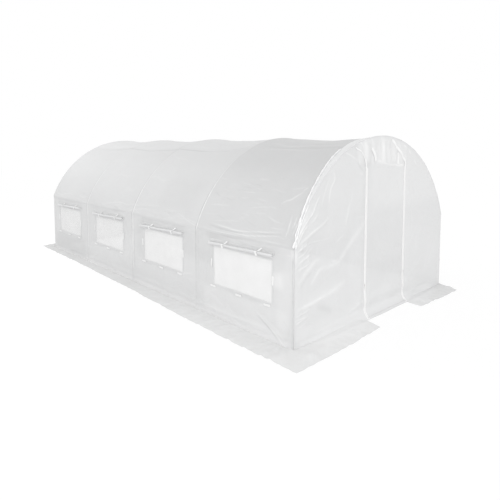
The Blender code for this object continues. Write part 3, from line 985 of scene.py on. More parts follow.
@dataclass(frozen=True)
class CreaseField(Relief):
    """Many small seeded creases over an area, most of them near one bearing."""

    low: Point
    high: Point
    count: int
    seed: int
    bearing: float = 0.0
    spread: float = 0.4
    lengths: Point = (0.15, 0.6)
    depths: Point = (-0.003, 0.004)
    width: float = 0.03
    white: float = 0.0
    shade: float = 0.0

    @cached_property
    def creases(self) -> list[Crease]:
        """Draws the creases one after the other from the seeded generator."""
        rng = np.random.default_rng(self.seed)
        made = []
        for _ in range(self.count):
            middle = rng.uniform(self.low, self.high)
            angle = self.bearing + rng.normal(0.0, self.spread)
            half = rng.uniform(*self.lengths) / 2 * np.array([math.cos(angle), math.sin(angle)])
            aside = rng.uniform(-0.16, 0.16, 2)[:, None] * np.array([[-half[1], half[0]]])
            inner = middle - 0.4 * half + aside[0], middle + 0.4 * half + aside[1]
            width = self.width * rng.uniform(0.6, 1.3)
            depth, white = rng.uniform(*self.depths), self.white * rng.uniform(self.shade, 1.0)
            made.append(Crease((middle - half, *inner, middle + half), depth, width, white))
        return made

    def __call__(self, s: Array, t: Array) -> Array:
        """The sum of its creases."""
        return sum((c(s, t) for c in self.creases), np.zeros_like(s))

    def mark(self, s: Array, t: Array) -> Array:
        """Its creases' marks together."""
        return marked(self.creases if self.white else [], s, t)


@dataclass(frozen=True)
class Tint(Relief):
    """A soft-edged area of painted light, or of painted shade below 0, without any height."""

    low: Point
    high: Point
    white: float
    soft: Point = (0.08, 0.08)

    def mark(self, s: Array, t: Array) -> Array:
        """Painted light at full strength inside, with a smooth rise over the soft length within each edge."""
        out = np.full_like(s, self.white)
        for place, low, high, soft in zip((s, t), self.low, self.high, self.soft):
            out = out * ramp(place - low, 0.0, soft) * ramp(high - place, 0.0, soft)
        return out


def total(parts: Sequence[Relief], s: Array, t: Array) -> Array:
    """The sum of several reliefs."""
    return sum((part(s, t) for part in parts), np.zeros_like(s))


def marked(parts: Sequence[Relief], s: Array, t: Array) -> Array:
    """The strongest painted highlight and stress whitening of the folds plus their strongest painted shade,
    on the sum of the painted light patches.
    """
    folds = [part.mark(s, t) for part in parts if not isinstance(part, Tint)]
    painted_light_patches = [part.mark(s, t) for part in parts if isinstance(part, Tint)]
    return np.maximum.reduce([0.0 * s, *folds]) + np.minimum.reduce([0.0 * s, *folds]) + sum(painted_light_patches, 0.0 * s)


def loosened(height: Array, free: Array, kept: float) -> Array:
    """Height times the root of how free the film is; at a hoop a share of what stands out is kept."""
    loose = np.sqrt(free)
    return height * loose + kept * np.maximum(height, 0.0) * (1.0 - loose)


def outwards(height: Array, soft: float = 0.004) -> Array:
    """A height kept above 0 without a kink: the mean of h and sqrt(h squared + soft squared)."""
    return 0.5 * (height + np.sqrt(height**2 + soft**2))


@dataclass
class RoofFilm:
    """Arched sheet over all hoops, lapped down over both side walls."""

    cover: Cover
    finishes: Finishes
    sag: Point = (0.045, 0.030)
    skirt: float = -1.25
    round_steps: tuple[float, ...] = (0.012, 0.0105, 0.024, 0.030, 0.012)
    long_steps: tuple[float, ...] = (0.0115, 0.024, 0.028, 0.030)
    # Creases with painted marks: stress whitening and painted highlight along the crest above 0, painted
    # shade below 0. The last two are painted shade lines: a long one left of the crown where the ridge rail
    # shows through the film, and a short one beside the middle hoop.
    creases: tuple[Crease, ...] = drawn(
        (0.007, 0.02, 0.95, (-1.74, -1.858), (-1.99, -1.879), (-2.23, -1.889), (-2.55, -1.855),
         (-2.8, -1.818)),
        (0.004, 0.014, 0.8, (-1.56, -1.935), (-1.84, -1.939), (-2.1, -1.94), (-2.49, -1.934)),
        (0.006, 0.016, 0.85, (-1.95, -1.926), (-2.35, -1.919), (-2.56, -1.894), (-2.73, -1.869),
         (-2.88, -1.885)),
        (0.004, 0.014, 0.85, (-2.5, -1.94), (-2.66, -1.936), (-2.97, -1.938)),
        (-0.004, 0.018, -0.9, (-1.7, -1.885), (-1.95, -1.906), (-2.12, -1.911), (-2.3, -1.905)),
        (-0.003, 0.016, -0.8, (-2.3, -1.872), (-2.55, -1.872), (-2.8, -1.845)),
        (0.003, 0.018, 0.5, (-1.6, -1.652), (-1.76, -1.637), (-1.92, -1.632)),
        (0.004, 0.018, 0.55, (-1.74, -1.836), (-1.95, -1.806), (-2.15, -1.793)),
        (0.003, 0.018, 0.5, (-2.0, -1.432), (-2.22, -1.425)),
        (0.003, 0.016, 0.5, (-2.01, -1.517), (-2.14, -1.503)),
        (0.003, 0.018, 0.5, (-2.2, -1.624), (-2.5, -1.579), (-2.62, -1.591)),
        (0.003, 0.016, 0.5, (-2.34, -1.669), (-2.5, -1.66)),
        (0.004, 0.018, 0.5, (-2.53, -1.68), (-2.66, -1.722), (-2.79, -1.742)),
        (0.003, 0.016, 0.5, (-2.62, -1.798), (-2.82, -1.79)),
        (0.006, 0.018, 0.95, (-2.85, -1.63), (-2.858, -1.73), (-2.866, -1.79), (-2.856, -1.87)),
        (0.005, 0.016, 0.95, (-2.915, -1.64), (-2.922, -1.7), (-2.905, -1.77)),
        (0.005, 0.016, 0.95, (-2.962, -1.68), (-2.95, -1.757), (-2.938, -1.84)),
        (0.005, 0.028, 0.8, (-2.64, -1.53), (-2.7, -1.49), (-2.74, -1.478), (-2.79, -1.432),
         (-2.86, -1.36)),
        (0.004, 0.02, 0.8, (-2.835, -1.36), (-2.88, -1.31)),
        (0.004, 0.034, 0.55, (-1.62, -0.41), (-2.04, -0.514), (-2.34, -0.5), (-2.95, -0.5)),
        (0.003, 0.03, 0.45, (-1.66, -0.665), (-2.05, -0.618), (-2.32, -0.662), (-2.62, -0.618)),
        (-0.003, 0.034, -0.5, (-1.6, -0.56), (-2.1, -0.57), (-2.9, -0.57)),
        (-0.002, 0.02, -0.95, (2.8, -0.7), (1.93, -0.703), (0.71, -0.714), (-0.6, -0.704),
         (-1.02, -0.684), (-1.44, -0.61)),
        (-0.002, 0.045, -0.7, (0.045, -0.95), (0.07, -0.743), (0.07, -0.45)),
    )
    # Painted light and shade over areas: the near bay darker, more so towards the crown, the crown behind it
    # lighter, and a darker patch over the left shoulder of the second bay.
    painted_light_patches: tuple[Tint, ...] = (
        Tint((-3.05, -2.0), (-1.5, 2.0), -0.3, (0.01, 0.05)),
        Tint((-3.05, -1.35), (-1.5, 1.35), -0.25, (0.01, 0.45)),
        Tint((-1.49, -0.72), (3.05, 0.4), 0.15, (0.02, 0.15)),
        Tint((-1.45, -1.9), (-0.4, -1.25), -0.22, (0.25, 0.2)),
    )

    @cached_property
    def slack(self) -> list[Relief]:
        """Slow waves, the drawn creases and painted light patches, and seeded creases by the shoulders and
        all over.
        """
        half = self.cover.half_arc
        streaks = CreaseField((-2.90, -1.88), (-1.56, -1.20), 60, 8, 0.04, 0.12, (0.06, 0.26),
                              (-0.001, 0.003), 0.016, 0.5, -0.8)
        fields = []
        for k, side in enumerate((-1.0, 1.0)):
            low, high = sorted((side * half, side * (half - 0.13)))
            fields.append(CreaseField((-1.45, low), (2.95, high), 46, 11 + k, 0.0, 0.05, (0.3, 1.1),
                                      (-0.003, 0.005), 0.018, 0.30, -0.6))
        wide = CreaseField((-2.9, -1.75), (2.9, 1.75), 60, 5, 0.1, 0.5, (0.2, 0.7), (-0.002, 0.003),
                           0.045, 0.12)
        return [Waves(0.004, 1.3, 0.35, 3), *self.creases, *self.painted_light_patches, streaks, *fields, wide]

    def relief(self, y: Array, girth: Array) -> Array:
        """Hanging dip 4 t (1 - t) in each bay, less near the shoulders, plus slack between the hoops.

        The dip shrinks evenly from the door end to the rear, and over a hoop the slack
        only stands out.

        Args:
            y: Places along the tunnel.
            girth: Places round the arch, from the crown.

        Returns:
            How far the film lies outside the arch.
        """
        c = self.cover
        free, bays = c.between_hoops(y), (c.bays[-1], c.bays[0])
        along = np.clip(np.abs(girth) / c.half_arc, 0.0, 1.0)
        dip = np.interp(y, bays, self.sag) * free * (1.0 - along**4)
        hold = ramp(c.half_arc + c.lap - np.abs(girth), 0.0, 0.04) * c.off_ends(y)
        return -dip + hold * loosened(total(self.slack, y, girth), free, 0.15)

    def build(self) -> None:
        c = self.cover
        half, reach = c.half_arc, c.half_arc + c.lap
        hoops = [-c.half_length, -c.bay, 0.0, c.bay, c.half_length]
        girths = spaced([-reach, -half, self.skirt, 0.0, half, reach], self.round_steps)
        y, girth = gridded(spaced(hoops, self.long_steps), girths)
        x, z = c.over_arch(girth, self.relief(y, girth))
        mark = marked(self.slack, y, girth)
        sheet = Patchwork().grid(stacked(x, y, z), stacked(y, girth), facing=TOP, mark=mark)
        piece = sheet.build("roof_film", self.finishes.roof, "roof_sheet")


@dataclass(frozen=True)
class Opening:
    """Size of one side window; its middle stands a little towards the door from the bay's."""

    half: float = 0.4475
    shift: float = -0.0175
    low: float = 0.37
    high: float = 0.79
    lap: float = 0.02


@dataclass
class SideWall:
    """Film below one shoulder, with four window openings."""

    cover: Cover
    finishes: Finishes
    side: Side
    opening: Opening = Opening()
    near_steps: tuple[float, ...] = (0.0105, 0.0115, 0.0115, 0.018)
    far_step: float = 0.026
    # Creases with painted marks: stress whitening and painted highlight along the crest above 0, painted
    # shade below 0. Those without depth are painted light alone: shade down the near corner, a light line
    # near its top, and a painted highlight and painted shade along the hoop legs at 0 and 1.5.
    creases: tuple[Crease, ...] = drawn(
        (0.006, 0.014, 0.3, (-2.46, 0.25), (-2.59, 0.184), (-2.76, 0.083), (-2.86, 0.019), (-2.99, -0.03)),
        (0.003, 0.012, 0.25, (-2.58, 0.222), (-2.74, 0.13), (-2.9, 0.045)),
        (-0.004, 0.018, -0.5, (-2.5, 0.2), (-2.66, 0.12), (-2.8, 0.03)),
        (0.004, 0.022, 0.25, (-2.5, 0.345), (-2.59, 0.414), (-2.7, 0.43)),
        (0.004, 0.02, 0.25, (-2.52, 0.3), (-2.6, 0.33)),
        (0.004, 0.014, 0.4, (-2.2, 0.915), (-2.49, 0.9), (-2.74, 0.882)),
        (0.004, 0.012, 0.45, (-2.54, 0.905), (-2.66, 0.91), (-2.78, 0.9)),
        (-0.003, 0.014, -0.8, (-1.62, 0.942), (-1.85, 0.938), (-2.1, 0.925), (-2.3, 0.932)),
        (0.004, 0.012, 0.3, (-2.05, 0.905), (-2.35, 0.925), (-2.6, 0.925), (-2.9, 0.935)),
        (0.005, 0.03, 0.0, (-1.58, 0.06), (-2.1, 0.075), (-2.6, 0.1)),
        (0.004, 0.03, 0.25, (-1.42, 0.4), (-1.25, 0.36), (-1.05, 0.3)),
        (0.004, 0.03, 0.2, (0.1, 0.42), (0.28, 0.2)),
        (0.0, 0.04, -0.3, (-2.999, 0.08), (-2.999, 0.4), (-2.999, 0.85)),
        (0.0, 0.045, 0.4, (-2.985, 0.83), (-2.98, 0.9), (-2.985, 0.97)),
        (0.0, 0.045, 0.5, (0.0, 0.36), (0.0, 0.72)),
        (0.0, 0.05, -0.45, (-0.03, 0.2), (-0.03, 0.75)),
        (0.0, 0.055, -0.5, (0.0, -0.02), (0.0, 0.24)),
        (0.0, 0.06, -0.6, (1.5, 0.0), (1.5, 0.34)),
    )
    # Painted light and shade over areas: lighter low on the near bay, by the near corner and along the foot,
    # with a painted highlight between the near window and the corner; darker in bands above the windows, in
    # patches between the near windows, under the shoulder by the corner and low in the rear bay.
    painted_light_patches: tuple[Tint, ...] = (
        Tint((-2.95, 0.0), (-1.6, 0.36), 0.16),
        Tint((-2.99, 0.1), (-2.74, 0.76), 0.16),
        Tint((-1.8, 0.3), (-1.5, 0.76), -0.22),
        Tint((-2.2, 0.87), (-1.5, 0.97), -0.35, (0.2, 0.03)),
        Tint((1.5, -0.05), (3.0, 0.36), -0.5, (0.2, 0.1)),
        Tint((-1.95, 0.52), (-1.05, 0.99), -0.5, (0.16, 0.14)),
        Tint((-0.62, 0.35), (-0.06, 0.95), -0.35, (0.12, 0.12)),
        Tint((-2.95, 0.76), (-2.45, 0.97), -0.25, (0.1, 0.08)),
        Tint((-2.98, -0.07), (1.3, 0.15), 0.24, (0.02, 0.07)),
        *(Tint((y - 0.6, 0.845), (y + 0.6, 0.975), dark, (0.15, 0.03))
          for y, dark in zip(Cover.bays, (-0.3, -0.05, -0.3, -0.45))),
        Tint((1.28, -0.07), (2.98, 0.14), 0.4, (0.02, 0.07)),
        Tint((-2.9, 0.5), (-2.64, 0.72), 0.38, (0.09, 0.09)),
    )

    @cached_property
    def slack(self) -> list[Relief]:
        """Slow waves, the drawn creases and painted light patches, and seeded creases by the shoulder and all
        over.
        """
        top = self.cover.shoulder
        under = CreaseField((-2.9, top - 0.09), (2.9, top - 0.01), 46, 21, 0.0, 0.06, (0.3, 0.9),
                            (-0.003, 0.004), 0.016, 0.25, -0.6)
        over = CreaseField((-2.9, 0.05), (2.9, 0.80), 70, 22, 0.5, 0.7, (0.12, 0.45), (-0.002, 0.0025),
                           0.03, 0.12)
        return [Waves(0.003, 1.1, 0.3, 23), *self.creases, *self.painted_light_patches, under, over]

    def relief(self, y: Array, z: Array) -> Array:
        """Bows in between the hoops, and stands out at the foot where it turns onto the flap.

        A soft pillow fills the strip between the door's window and the near corner.

        Args:
            y: Places along the wall.
            z: Heights.

        Returns:
            How far the film lies outside the flat wall.
        """
        c, o = self.cover, self.opening
        free = c.between_hoops(y)
        bow = -0.006 * free * np.sin(math.pi * np.clip(z / c.shoulder, 0.0, 1.0))
        foot = 0.016 * np.clip((0.05 - z) / 0.05, 0.0, 1.0) ** 2 * c.off_ends(y, 0.12)
        hold = ramp(c.shoulder - z, 0.0, 0.04) * c.off_ends(y)
        near_window = np.zeros_like(y)
        for middle in c.bays:
            inside = ramp(o.half + 0.05 - np.abs(y - middle - o.shift), 0.0, 0.05)
            band = ramp(z, o.low - 0.06, o.low) * ramp(0.91 - z, 0.0, 0.04)
            near_window = np.maximum(near_window, inside * band)
        wrinkles = loosened(total(self.slack, y, z), free, 0.12)
        pillow = 0.010 * bell(y, -2.82, 0.14) * bell(z, 0.66, 0.13) * hold * (1.0 - near_window)
        return bow * (1.0 - near_window) + foot + pillow + wrinkles * hold * (1.0 - 0.9 * near_window)

    def build(self) -> None:
        c, o, word = self.cover, self.opening, self.side.word
        end, top = c.half_length - 0.001, c.shoulder - 0.006
        middles = sorted(bay + o.shift for bay in c.bays)
        edges = sorted([-end, -c.bay, 0.0, c.bay, *(m + s * o.half for m in middles for s in (-1, 1)), end])
        far = [self.far_step] * (len(edges) - 1 - len(self.near_steps))
        y_line = spaced(edges, (*self.near_steps, *far))
        z_line = spaced([c.foot, 0.10, o.low, o.high, top], 0.0115)
        y, z = gridded(y_line, z_line)
        middle_y, middle_z = (y_line[1:] + y_line[:-1]) / 2, (z_line[1:] + z_line[:-1]) / 2
        away = np.min(np.abs(middle_y[:, None] - np.array(middles)), axis=1)
        keep = ~((away < o.half)[:, None] & ((middle_z > o.low) & (middle_z < o.high))[None])
        x = self.side.value * (c.wall_x + self.relief(y, z))
        sheet = Patchwork().grid(stacked(x, y, z), stacked(y, z), keep, facing=self.side.out,
                                 mark=marked(self.slack, y, z))
        piece = sheet.build(f"side_film_{word}", self.finishes.wall, f"side_wall_{word}")
        [f"leg_{self.side.word}_{n}" for n in range(1, 6)]


@dataclass
class EndShape:
    """The door end's film as one relief that the wall, door, zips and straps all follow."""

    cover: Cover
    left: float = -0.34
    right: float = 0.48
    top: float = 1.65
    foot_out: float = 0.07
    foot_high: float = 0.12
    # Creases with painted marks: stress whitening and painted highlight along the crest above 0, painted
    # shade below 0. The last three are mostly painted light: shade down the near corner, a light line at its
    # top and a dark line under the arch's left shoulder.
    creases: tuple[Crease, ...] = drawn(
        (0.01, 0.02, 0.9, (-1.47, 1.0), (-1.42, 1.089), (-1.34, 1.18), (-1.26, 1.255), (-1.2, 1.338),
         (-1.13, 1.42)),
        (0.01, 0.022, 1.0, (-1.48, 0.955), (-1.43, 1.03), (-1.38, 1.1), (-1.32, 1.15)),
        (0.005, 0.018, 0.5, (-1.29, 1.165), (-1.23, 1.19), (-1.17, 1.26)),
        (0.009, 0.034, 0.65, (-1.47, 0.97), (-1.35, 1.023), (-1.22, 1.085), (-1.09, 1.136), (-1.0, 1.19)),
        (0.008, 0.018, 1.0, (-1.48, 0.9), (-1.4, 0.945), (-1.3, 0.975)),
        (0.004, 0.012, 0.45, (-1.41, 0.961), (-1.24, 0.978), (-1.1, 0.978), (-0.95, 0.982)),
        (0.007, 0.02, 1.0, (-1.45, 0.805), (-1.42, 0.818), (-1.35, 0.843), (-1.27, 0.868)),
        (0.006, 0.018, 0.9, (-1.46, 0.745), (-1.35, 0.768), (-1.27, 0.8)),
        (0.006, 0.018, 0.85, (-1.47, 0.86), (-1.38, 0.885), (-1.31, 0.93)),
        (0.01, 0.075, 0.55, (-1.46, 0.59), (-1.4, 0.64), (-1.35, 0.691), (-1.23, 0.77), (-1.12, 0.8)),
        (-0.004, 0.04, -0.35, (-1.42, 0.56), (-1.33, 0.64), (-1.24, 0.7)),
        (0.007, 0.06, 0.52, (-1.27, 0.56), (-1.2, 0.63), (-1.13, 0.69), (-1.04, 0.715)),
        (0.009, 0.085, 0.45, (-1.1, 0.69), (-0.92, 0.705), (-0.8, 0.735), (-0.63, 0.88), (-0.49, 0.977),
         (-0.35, 1.09)),
        (0.009, 0.05, 0.6, (-1.47, 0.37), (-1.3, 0.385), (-1.12, 0.405), (-0.96, 0.43)),
        (0.01, 0.085, 0.36, (-1.3, 0.375), (-1.1, 0.405), (-0.9, 0.44), (-0.68, 0.51)),
        (0.005, 0.014, 0.7, (-1.48, 0.31), (-1.37, 0.323), (-1.28, 0.345)),
        (0.004, 0.012, 0.6, (-1.48, 0.272), (-1.4, 0.276), (-1.3, 0.272)),
        (0.004, 0.012, 0.5, (-1.48, 0.24), (-1.37, 0.265), (-1.3, 0.28)),
        (0.003, 0.012, 0.4, (-1.44, 0.195), (-1.34, 0.215)),
        (0.004, 0.018, 0.5, (-0.87, 0.92), (-0.79, 0.965), (-0.74, 0.985)),
        (0.005, 0.022, 0.45, (-0.97, 0.738), (-0.83, 0.745)),
        (0.005, 0.018, 0.6, (-0.93, 1.64), (-0.91, 1.557), (-0.97, 1.466), (-1.0, 1.32)),
        (0.004, 0.018, 0.3, (-1.0, 1.56), (-1.07, 1.42), (-1.12, 1.3)),
        (0.004, 0.026, 0.35, (-0.65, 1.31), (-0.69, 1.18), (-0.72, 1.08)),
        (0.005, 0.024, 0.4, (-0.84, 1.845), (-0.65, 1.795), (-0.58, 1.763), (-0.52, 1.735)),
        (0.004, 0.022, 0.5, (-0.53, 1.955), (-0.44, 1.908), (-0.41, 1.84)),
        (-0.003, 0.03, -0.45, (-0.52, 1.72), (-0.46, 1.66), (-0.4, 1.62)),
        (0.003, 0.018, 0.35, (-0.48, 1.6), (-0.41, 1.585)),
        (0.003, 0.02, 0.6, (0.44, 1.9), (0.5, 1.87)),
        (0.003, 0.02, 0.5, (0.56, 1.84), (0.62, 1.79)),
        (0.003, 0.02, 0.5, (0.7, 1.72), (0.76, 1.66)),
        (-0.003, 0.09, -0.55, (-1.18, 0.335), (-1.05, 0.285), (-0.92, 0.225)),
        (0.008, 0.03, 0.2, (-0.64, 0.13), (-0.36, 0.21)),
        (0.006, 0.035, 0.0, (0.56, 0.2), (0.72, 0.33), (0.95, 0.44)),
        (-0.002, 0.04, -0.5, (0.66, 0.05), (0.84, 0.098), (1.05, 0.105), (1.3, 0.06)),
        (0.006, 0.035, 0.0, (1.46, 0.84), (1.32, 0.7), (1.16, 0.6)),
        (0.006, 0.095, 0.45, (-0.03, 2.02), (-0.025, 1.68)),
        (0.003, 0.03, 0.5, (-0.055, 2.03), (-0.05, 1.93)),
        (0.006, 0.085, 0.4, (-0.385, 2.0), (-0.375, 1.7)),
        (0.006, 0.02, 0.3, (-0.235, 2.02), (-0.255, 1.87)),
        (0.008, 0.045, 0.45, (-0.14, 1.726), (-0.03, 1.7), (0.08, 1.68)),
        (0.008, 0.026, 0.4, (-0.06, 1.7), (0.18, 1.668), (0.45, 1.66)),
        (0.008, 0.034, 0.85, (0.22, 1.664), (0.34, 1.661), (0.49, 1.664)),
        (0.0, 0.04, -0.3, (-1.499, 0.08), (-1.499, 0.4), (-1.499, 0.82)),
        (0.0, 0.045, 0.45, (-1.49, 0.8), (-1.485, 0.86), (-1.49, 0.94)),
        (-0.003, 0.014, -0.9, (-1.48, 0.905), (-1.42, 0.915), (-1.36, 0.912)),
    )
    # Painted light and shade over areas: lighter above the doorway, over the upper right, a little on the
    # upper left and along the foot left of the door; darker over the door, by the near corner, across the
    # middle of the left part and low on the right.
    painted_light_patches: tuple[Tint, ...] = (
        Tint((0.6, -0.06), (1.51, 0.12), -0.1, (0.03, 0.1)),
        Tint((-0.55, 1.66), (0.55, 2.05), 0.22),
        Tint((-1.05, 1.15), (-0.38, 1.8), 0.08),
        Tint((left, 0.25), (right, 1.2), -0.22, (0.003, 0.3)),
        Tint((left, 0.12), (right, 0.66), -0.2, (0.003, 0.15)),
        Tint((-1.51, 0.2), (-1.38, 0.98), -0.12, (0.01, 0.1)),
        Tint((-1.46, 0.42), (-0.6, 1.08), -0.16, (0.1, 0.15)),
        Tint((-1.49, -0.06), (left, 0.24), 0.18, (0.03, 0.1)),
        Tint((-0.3, 1.1), (1.47, 2.0), 0.18, (0.1, 0.2)),
    )

    @cached_property
    def slack(self) -> list[Relief]:
        """The drawn creases and painted light patches, and seeded creases all over and by the near corner."""
        soft = CreaseField((-1.42, 0.30), (1.42, 1.35), 46, 31, 0.8, 0.5, (0.12, 0.5), (-0.0025, 0.0035),
                           0.03, 0.16, -0.4)
        corner = CreaseField((-1.47, 0.66), (-1.28, 1.02), 26, 35, 0.5, 0.35, (0.03, 0.12), (0.000, 0.005),
                             0.016, 0.6, -0.6)
        lower = CreaseField((-1.47, 0.22), (-1.33, 0.40), 9, 36, 0.3, 0.2, (0.04, 0.12), (0.000, 0.003),
                            0.013, 0.6, -0.3)
        return [*self.creases, *self.painted_light_patches, soft, corner, lower]

    def relief(self, x: Array, z: Array) -> Array:
        """How far the film stands out from the flat end, towards -Y.

        The foot spreads by the square of the height left below foot_high, under a loose
        fold; the top above the doorway hangs in upright folds; both fade towards the arch,
        and the zips stay flat between the fold and the top of the doorway. Nothing dips
        behind the flat end, where the tubes are.

        Args:
            x: Places across the end.
            z: Heights.

        Returns:
            The distance in front of the flat end.
        """
        inward = ramp(1.46 - np.abs(x), 0.0, 0.6)
        foot = self.foot_out * np.clip((self.foot_high - z) / self.foot_high, 0.0, 1.0) ** 2 * inward
        loose = 0.018 * bell(z, 0.200, 0.060) * bell(x, 0.5 * (self.left + self.right) - 0.06, 0.46)
        arch = self.cover.top(x) - z
        hold = ramp(arch, 0.0, 0.06) * ramp(1.4965 - np.abs(x), 0.0, 0.02)
        zips = np.minimum(np.abs(x - self.left), np.abs(x - self.right))
        free = 1.0 - (1.0 - ramp(zips, 0.012, 0.07)) * ramp(1.70 - z, 0.0, 0.045)
        slow = Waves(0.005, 1.2, 0.4, 33)(x, z)
        folds = 0.006 + 0.006 * np.sin(TAU * (x + 0.12 * (z - 1.65)) / 0.115 + 1.1 * np.sin(9.0 * x))
        above = ramp(z, 1.66, 1.76) * ramp(arch, 0.02, 0.09)
        gathers = folds * above * ramp(0.66 - np.abs(x), 0.0, 0.3)
        return foot + loose + gathers + outwards(slow + total(self.slack, x, z)) * hold * free

    def place(self, x: Array, z: Array, lift: Array | float = 0.0) -> Array:
        """World points of the film at x and z, lifted off it by the given distance."""
        return stacked(x, -(self.cover.end_y + self.relief(x, z) + lift), z)


@dataclass
class EndWalls:
    """The fixed film of both ends, with bound edges along the arches and corners."""

    cover: Cover
    finishes: Finishes
    shape: EndShape
    roof: RoofFilm
    inside: float = 0.0035
    under: float = 0.0015
    notch: float = 0.0025
    upper_rows: float = 0.42
    lap_from: float = -69.6
    lap_turn: float = 45.3
    lap_end: float = 1.9

    @property
    def edge(self) -> float:
        """Half the width of either sheet, a little inside the arch."""
        return self.cover.half_width - self.inside

    def front(self) -> None:
        """The door end: rows run to just above the doorway, then up to the arch."""
        c, edge = self.cover, self.edge
        left, right = self.shape.left - self.notch, self.shape.right + self.notch
        x_line = spaced([-edge, left, right, edge], (0.0100, 0.016, 0.016))
        share = spaced([0.0, 1.0, 1.0 + self.upper_rows], 0.0072)
        x, row = gridded(x_line, share)
        knee = np.minimum(self.shape.top + 0.0002, 0.9 * c.top(x))
        high = c.top(x) - self.under
        upper = np.clip((row - 1.0) / self.upper_rows, 0.0, 1.0)
        z = np.where(row <= 1.0, c.foot + (knee - c.foot) * row, knee + (high - knee) * upper)
        middle, below = (x_line[1:] + x_line[:-1]) / 2, (share[1:] + share[:-1]) / 2 < 1.0
        keep = ~(((middle > left) & (middle < right))[:, None] & below[None])
        sheet = Patchwork().grid(self.shape.place(x, z), stacked(x, z), keep, facing=FRONT,
                                 mark=marked(self.shape.slack, x, z))
        piece = sheet.build("front_film", self.finishes.end, "front_wall")

    def rear(self) -> None:
        """The plain end: one sheet whose rows run from the ground to the arch."""
        c, edge = self.cover, self.edge
        x, row = gridded(spaced([-edge, 0.0, edge], 0.018), spaced([0.0, 1.0], 0.011))
        z = c.foot + (c.top(x) - self.under - c.foot) * row
        hold = ramp(c.top(x) - z, 0.0, 0.07) * ramp(edge - np.abs(x), 0.0, 0.04)
        fan = drawn(*((0.009, 0.04, 0.0, (s * 1.47, 0.90 - 0.16 * k), (s * 1.22, 1.03 - 0.19 * k),
                       (s * (1.0 - 0.1 * k), 1.25 - 0.22 * k)) for s in (-1, 1) for k in range(5)))
        soft = CreaseField((-1.4, 0.1), (1.4, 1.6), 60, 41, 0.9, 0.5, (0.15, 0.6), (-0.003, 0.004), 0.035)
        out = outwards(total([Waves(0.006, 1.3, 0.4, 42), *fan, soft], x, z)) * hold
        out = out + 0.010 * np.clip((0.05 - z) / 0.05, 0.0, 1.0) ** 2
        sheet = Patchwork().grid(stacked(x, c.end_y + out - 0.001, z), stacked(x, z), facing=REAR)
        piece = sheet.build("rear_film", self.finishes.end, "rear_wall")

    def seam(self, word: str, sign: float) -> None:
        """Rolled seam along one arch just inside the edge, and a flat one aslant down both corners.

        Args:
            word: Front or rear, for the names.
            sign: Which way the end faces along Y.
        """
        c = self.cover
        turn = np.linspace(-1.0, 1.0, 161) * math.asin(c.half_width / c.radius)
        wobble = 0.0006 * np.sin(31.0 * turn) + 0.0005 * np.sin(57.0 * turn + 1.0)
        reach, past = c.radius + wobble, 0.0005 + 0.5 * wobble
        arc = stacked(reach * np.sin(turn), sign * (c.half_length + past), c.centre_z + reach * np.cos(turn))
        Patchwork().strip(arc, ALONG, self.off_arch(arc), 0.009, 0.009, Section.ROUND).build(
            f"edge_seam_{word}", self.finishes.end)
        posts, aslant = Patchwork(), 0.7071
        for side in (-1.0, 1.0):
            z = np.linspace(c.foot + 0.003, c.shoulder - 0.002, 60)
            inset = 0.0050 + 0.0006 * np.sin(17.0 * z)
            path = stacked(side * (c.wall_x - inset), sign * (c.half_length - inset), z)
            along, out = (side * aslant, -sign * aslant, 0.0), (side * aslant, sign * aslant, 0.0)
            posts.strip(path, along, out, 0.018, 0.004)
        posts.build(f"corner_seam_{word}", self.finishes.hem)

    def off_arch(self, path: Array) -> Array:
        """The way out from the arc's centre line at each point of a path round it."""
        return unit(path * [1, 0, 1] - [0, 0, self.cover.centre_z])

    def lap_width(self, share: Array) -> Array:
        """How far the door end's film laps back over the roof.

        It grows by a power of the share of the way up from the left shoulder, and runs out
        past the crown.
        """
        return (0.010 + 0.106 * share**1.4) * (1.0 - ramp(share, 1.10, 1.90)) + 0.003

    def on_roof(self, share: Array, y: Array, lift: Array | float) -> Array:
        """Places on the roof film at shares of the rope's way, lifted off it."""
        girth = np.radians(self.lap_turn * share + self.lap_from) * self.cover.radius
        x, z = self.cover.over_arch(girth, self.roof.relief(y, girth) + lift)
        return stacked(x, y, z)

    def lap(self) -> None:
        """The border of the door end's film, drawn back over the roof's edge on the near half."""
        c = self.cover
        share, across = gridded(np.linspace(0.0, self.lap_end, 200), np.linspace(0.0, 1.0, 9))
        y = -c.half_length - 0.001 + (self.lap_width(share) + 0.001) * across
        length = self.lap_end * math.radians(self.lap_turn) * c.radius
        sheet = Patchwork().grid(self.on_roof(share, y, 0.0030), stacked(share * length / self.lap_end, y),
                                 facing=(-1, 0, 1))
        piece = sheet.build("edge_lap_front", self.finishes.lap)

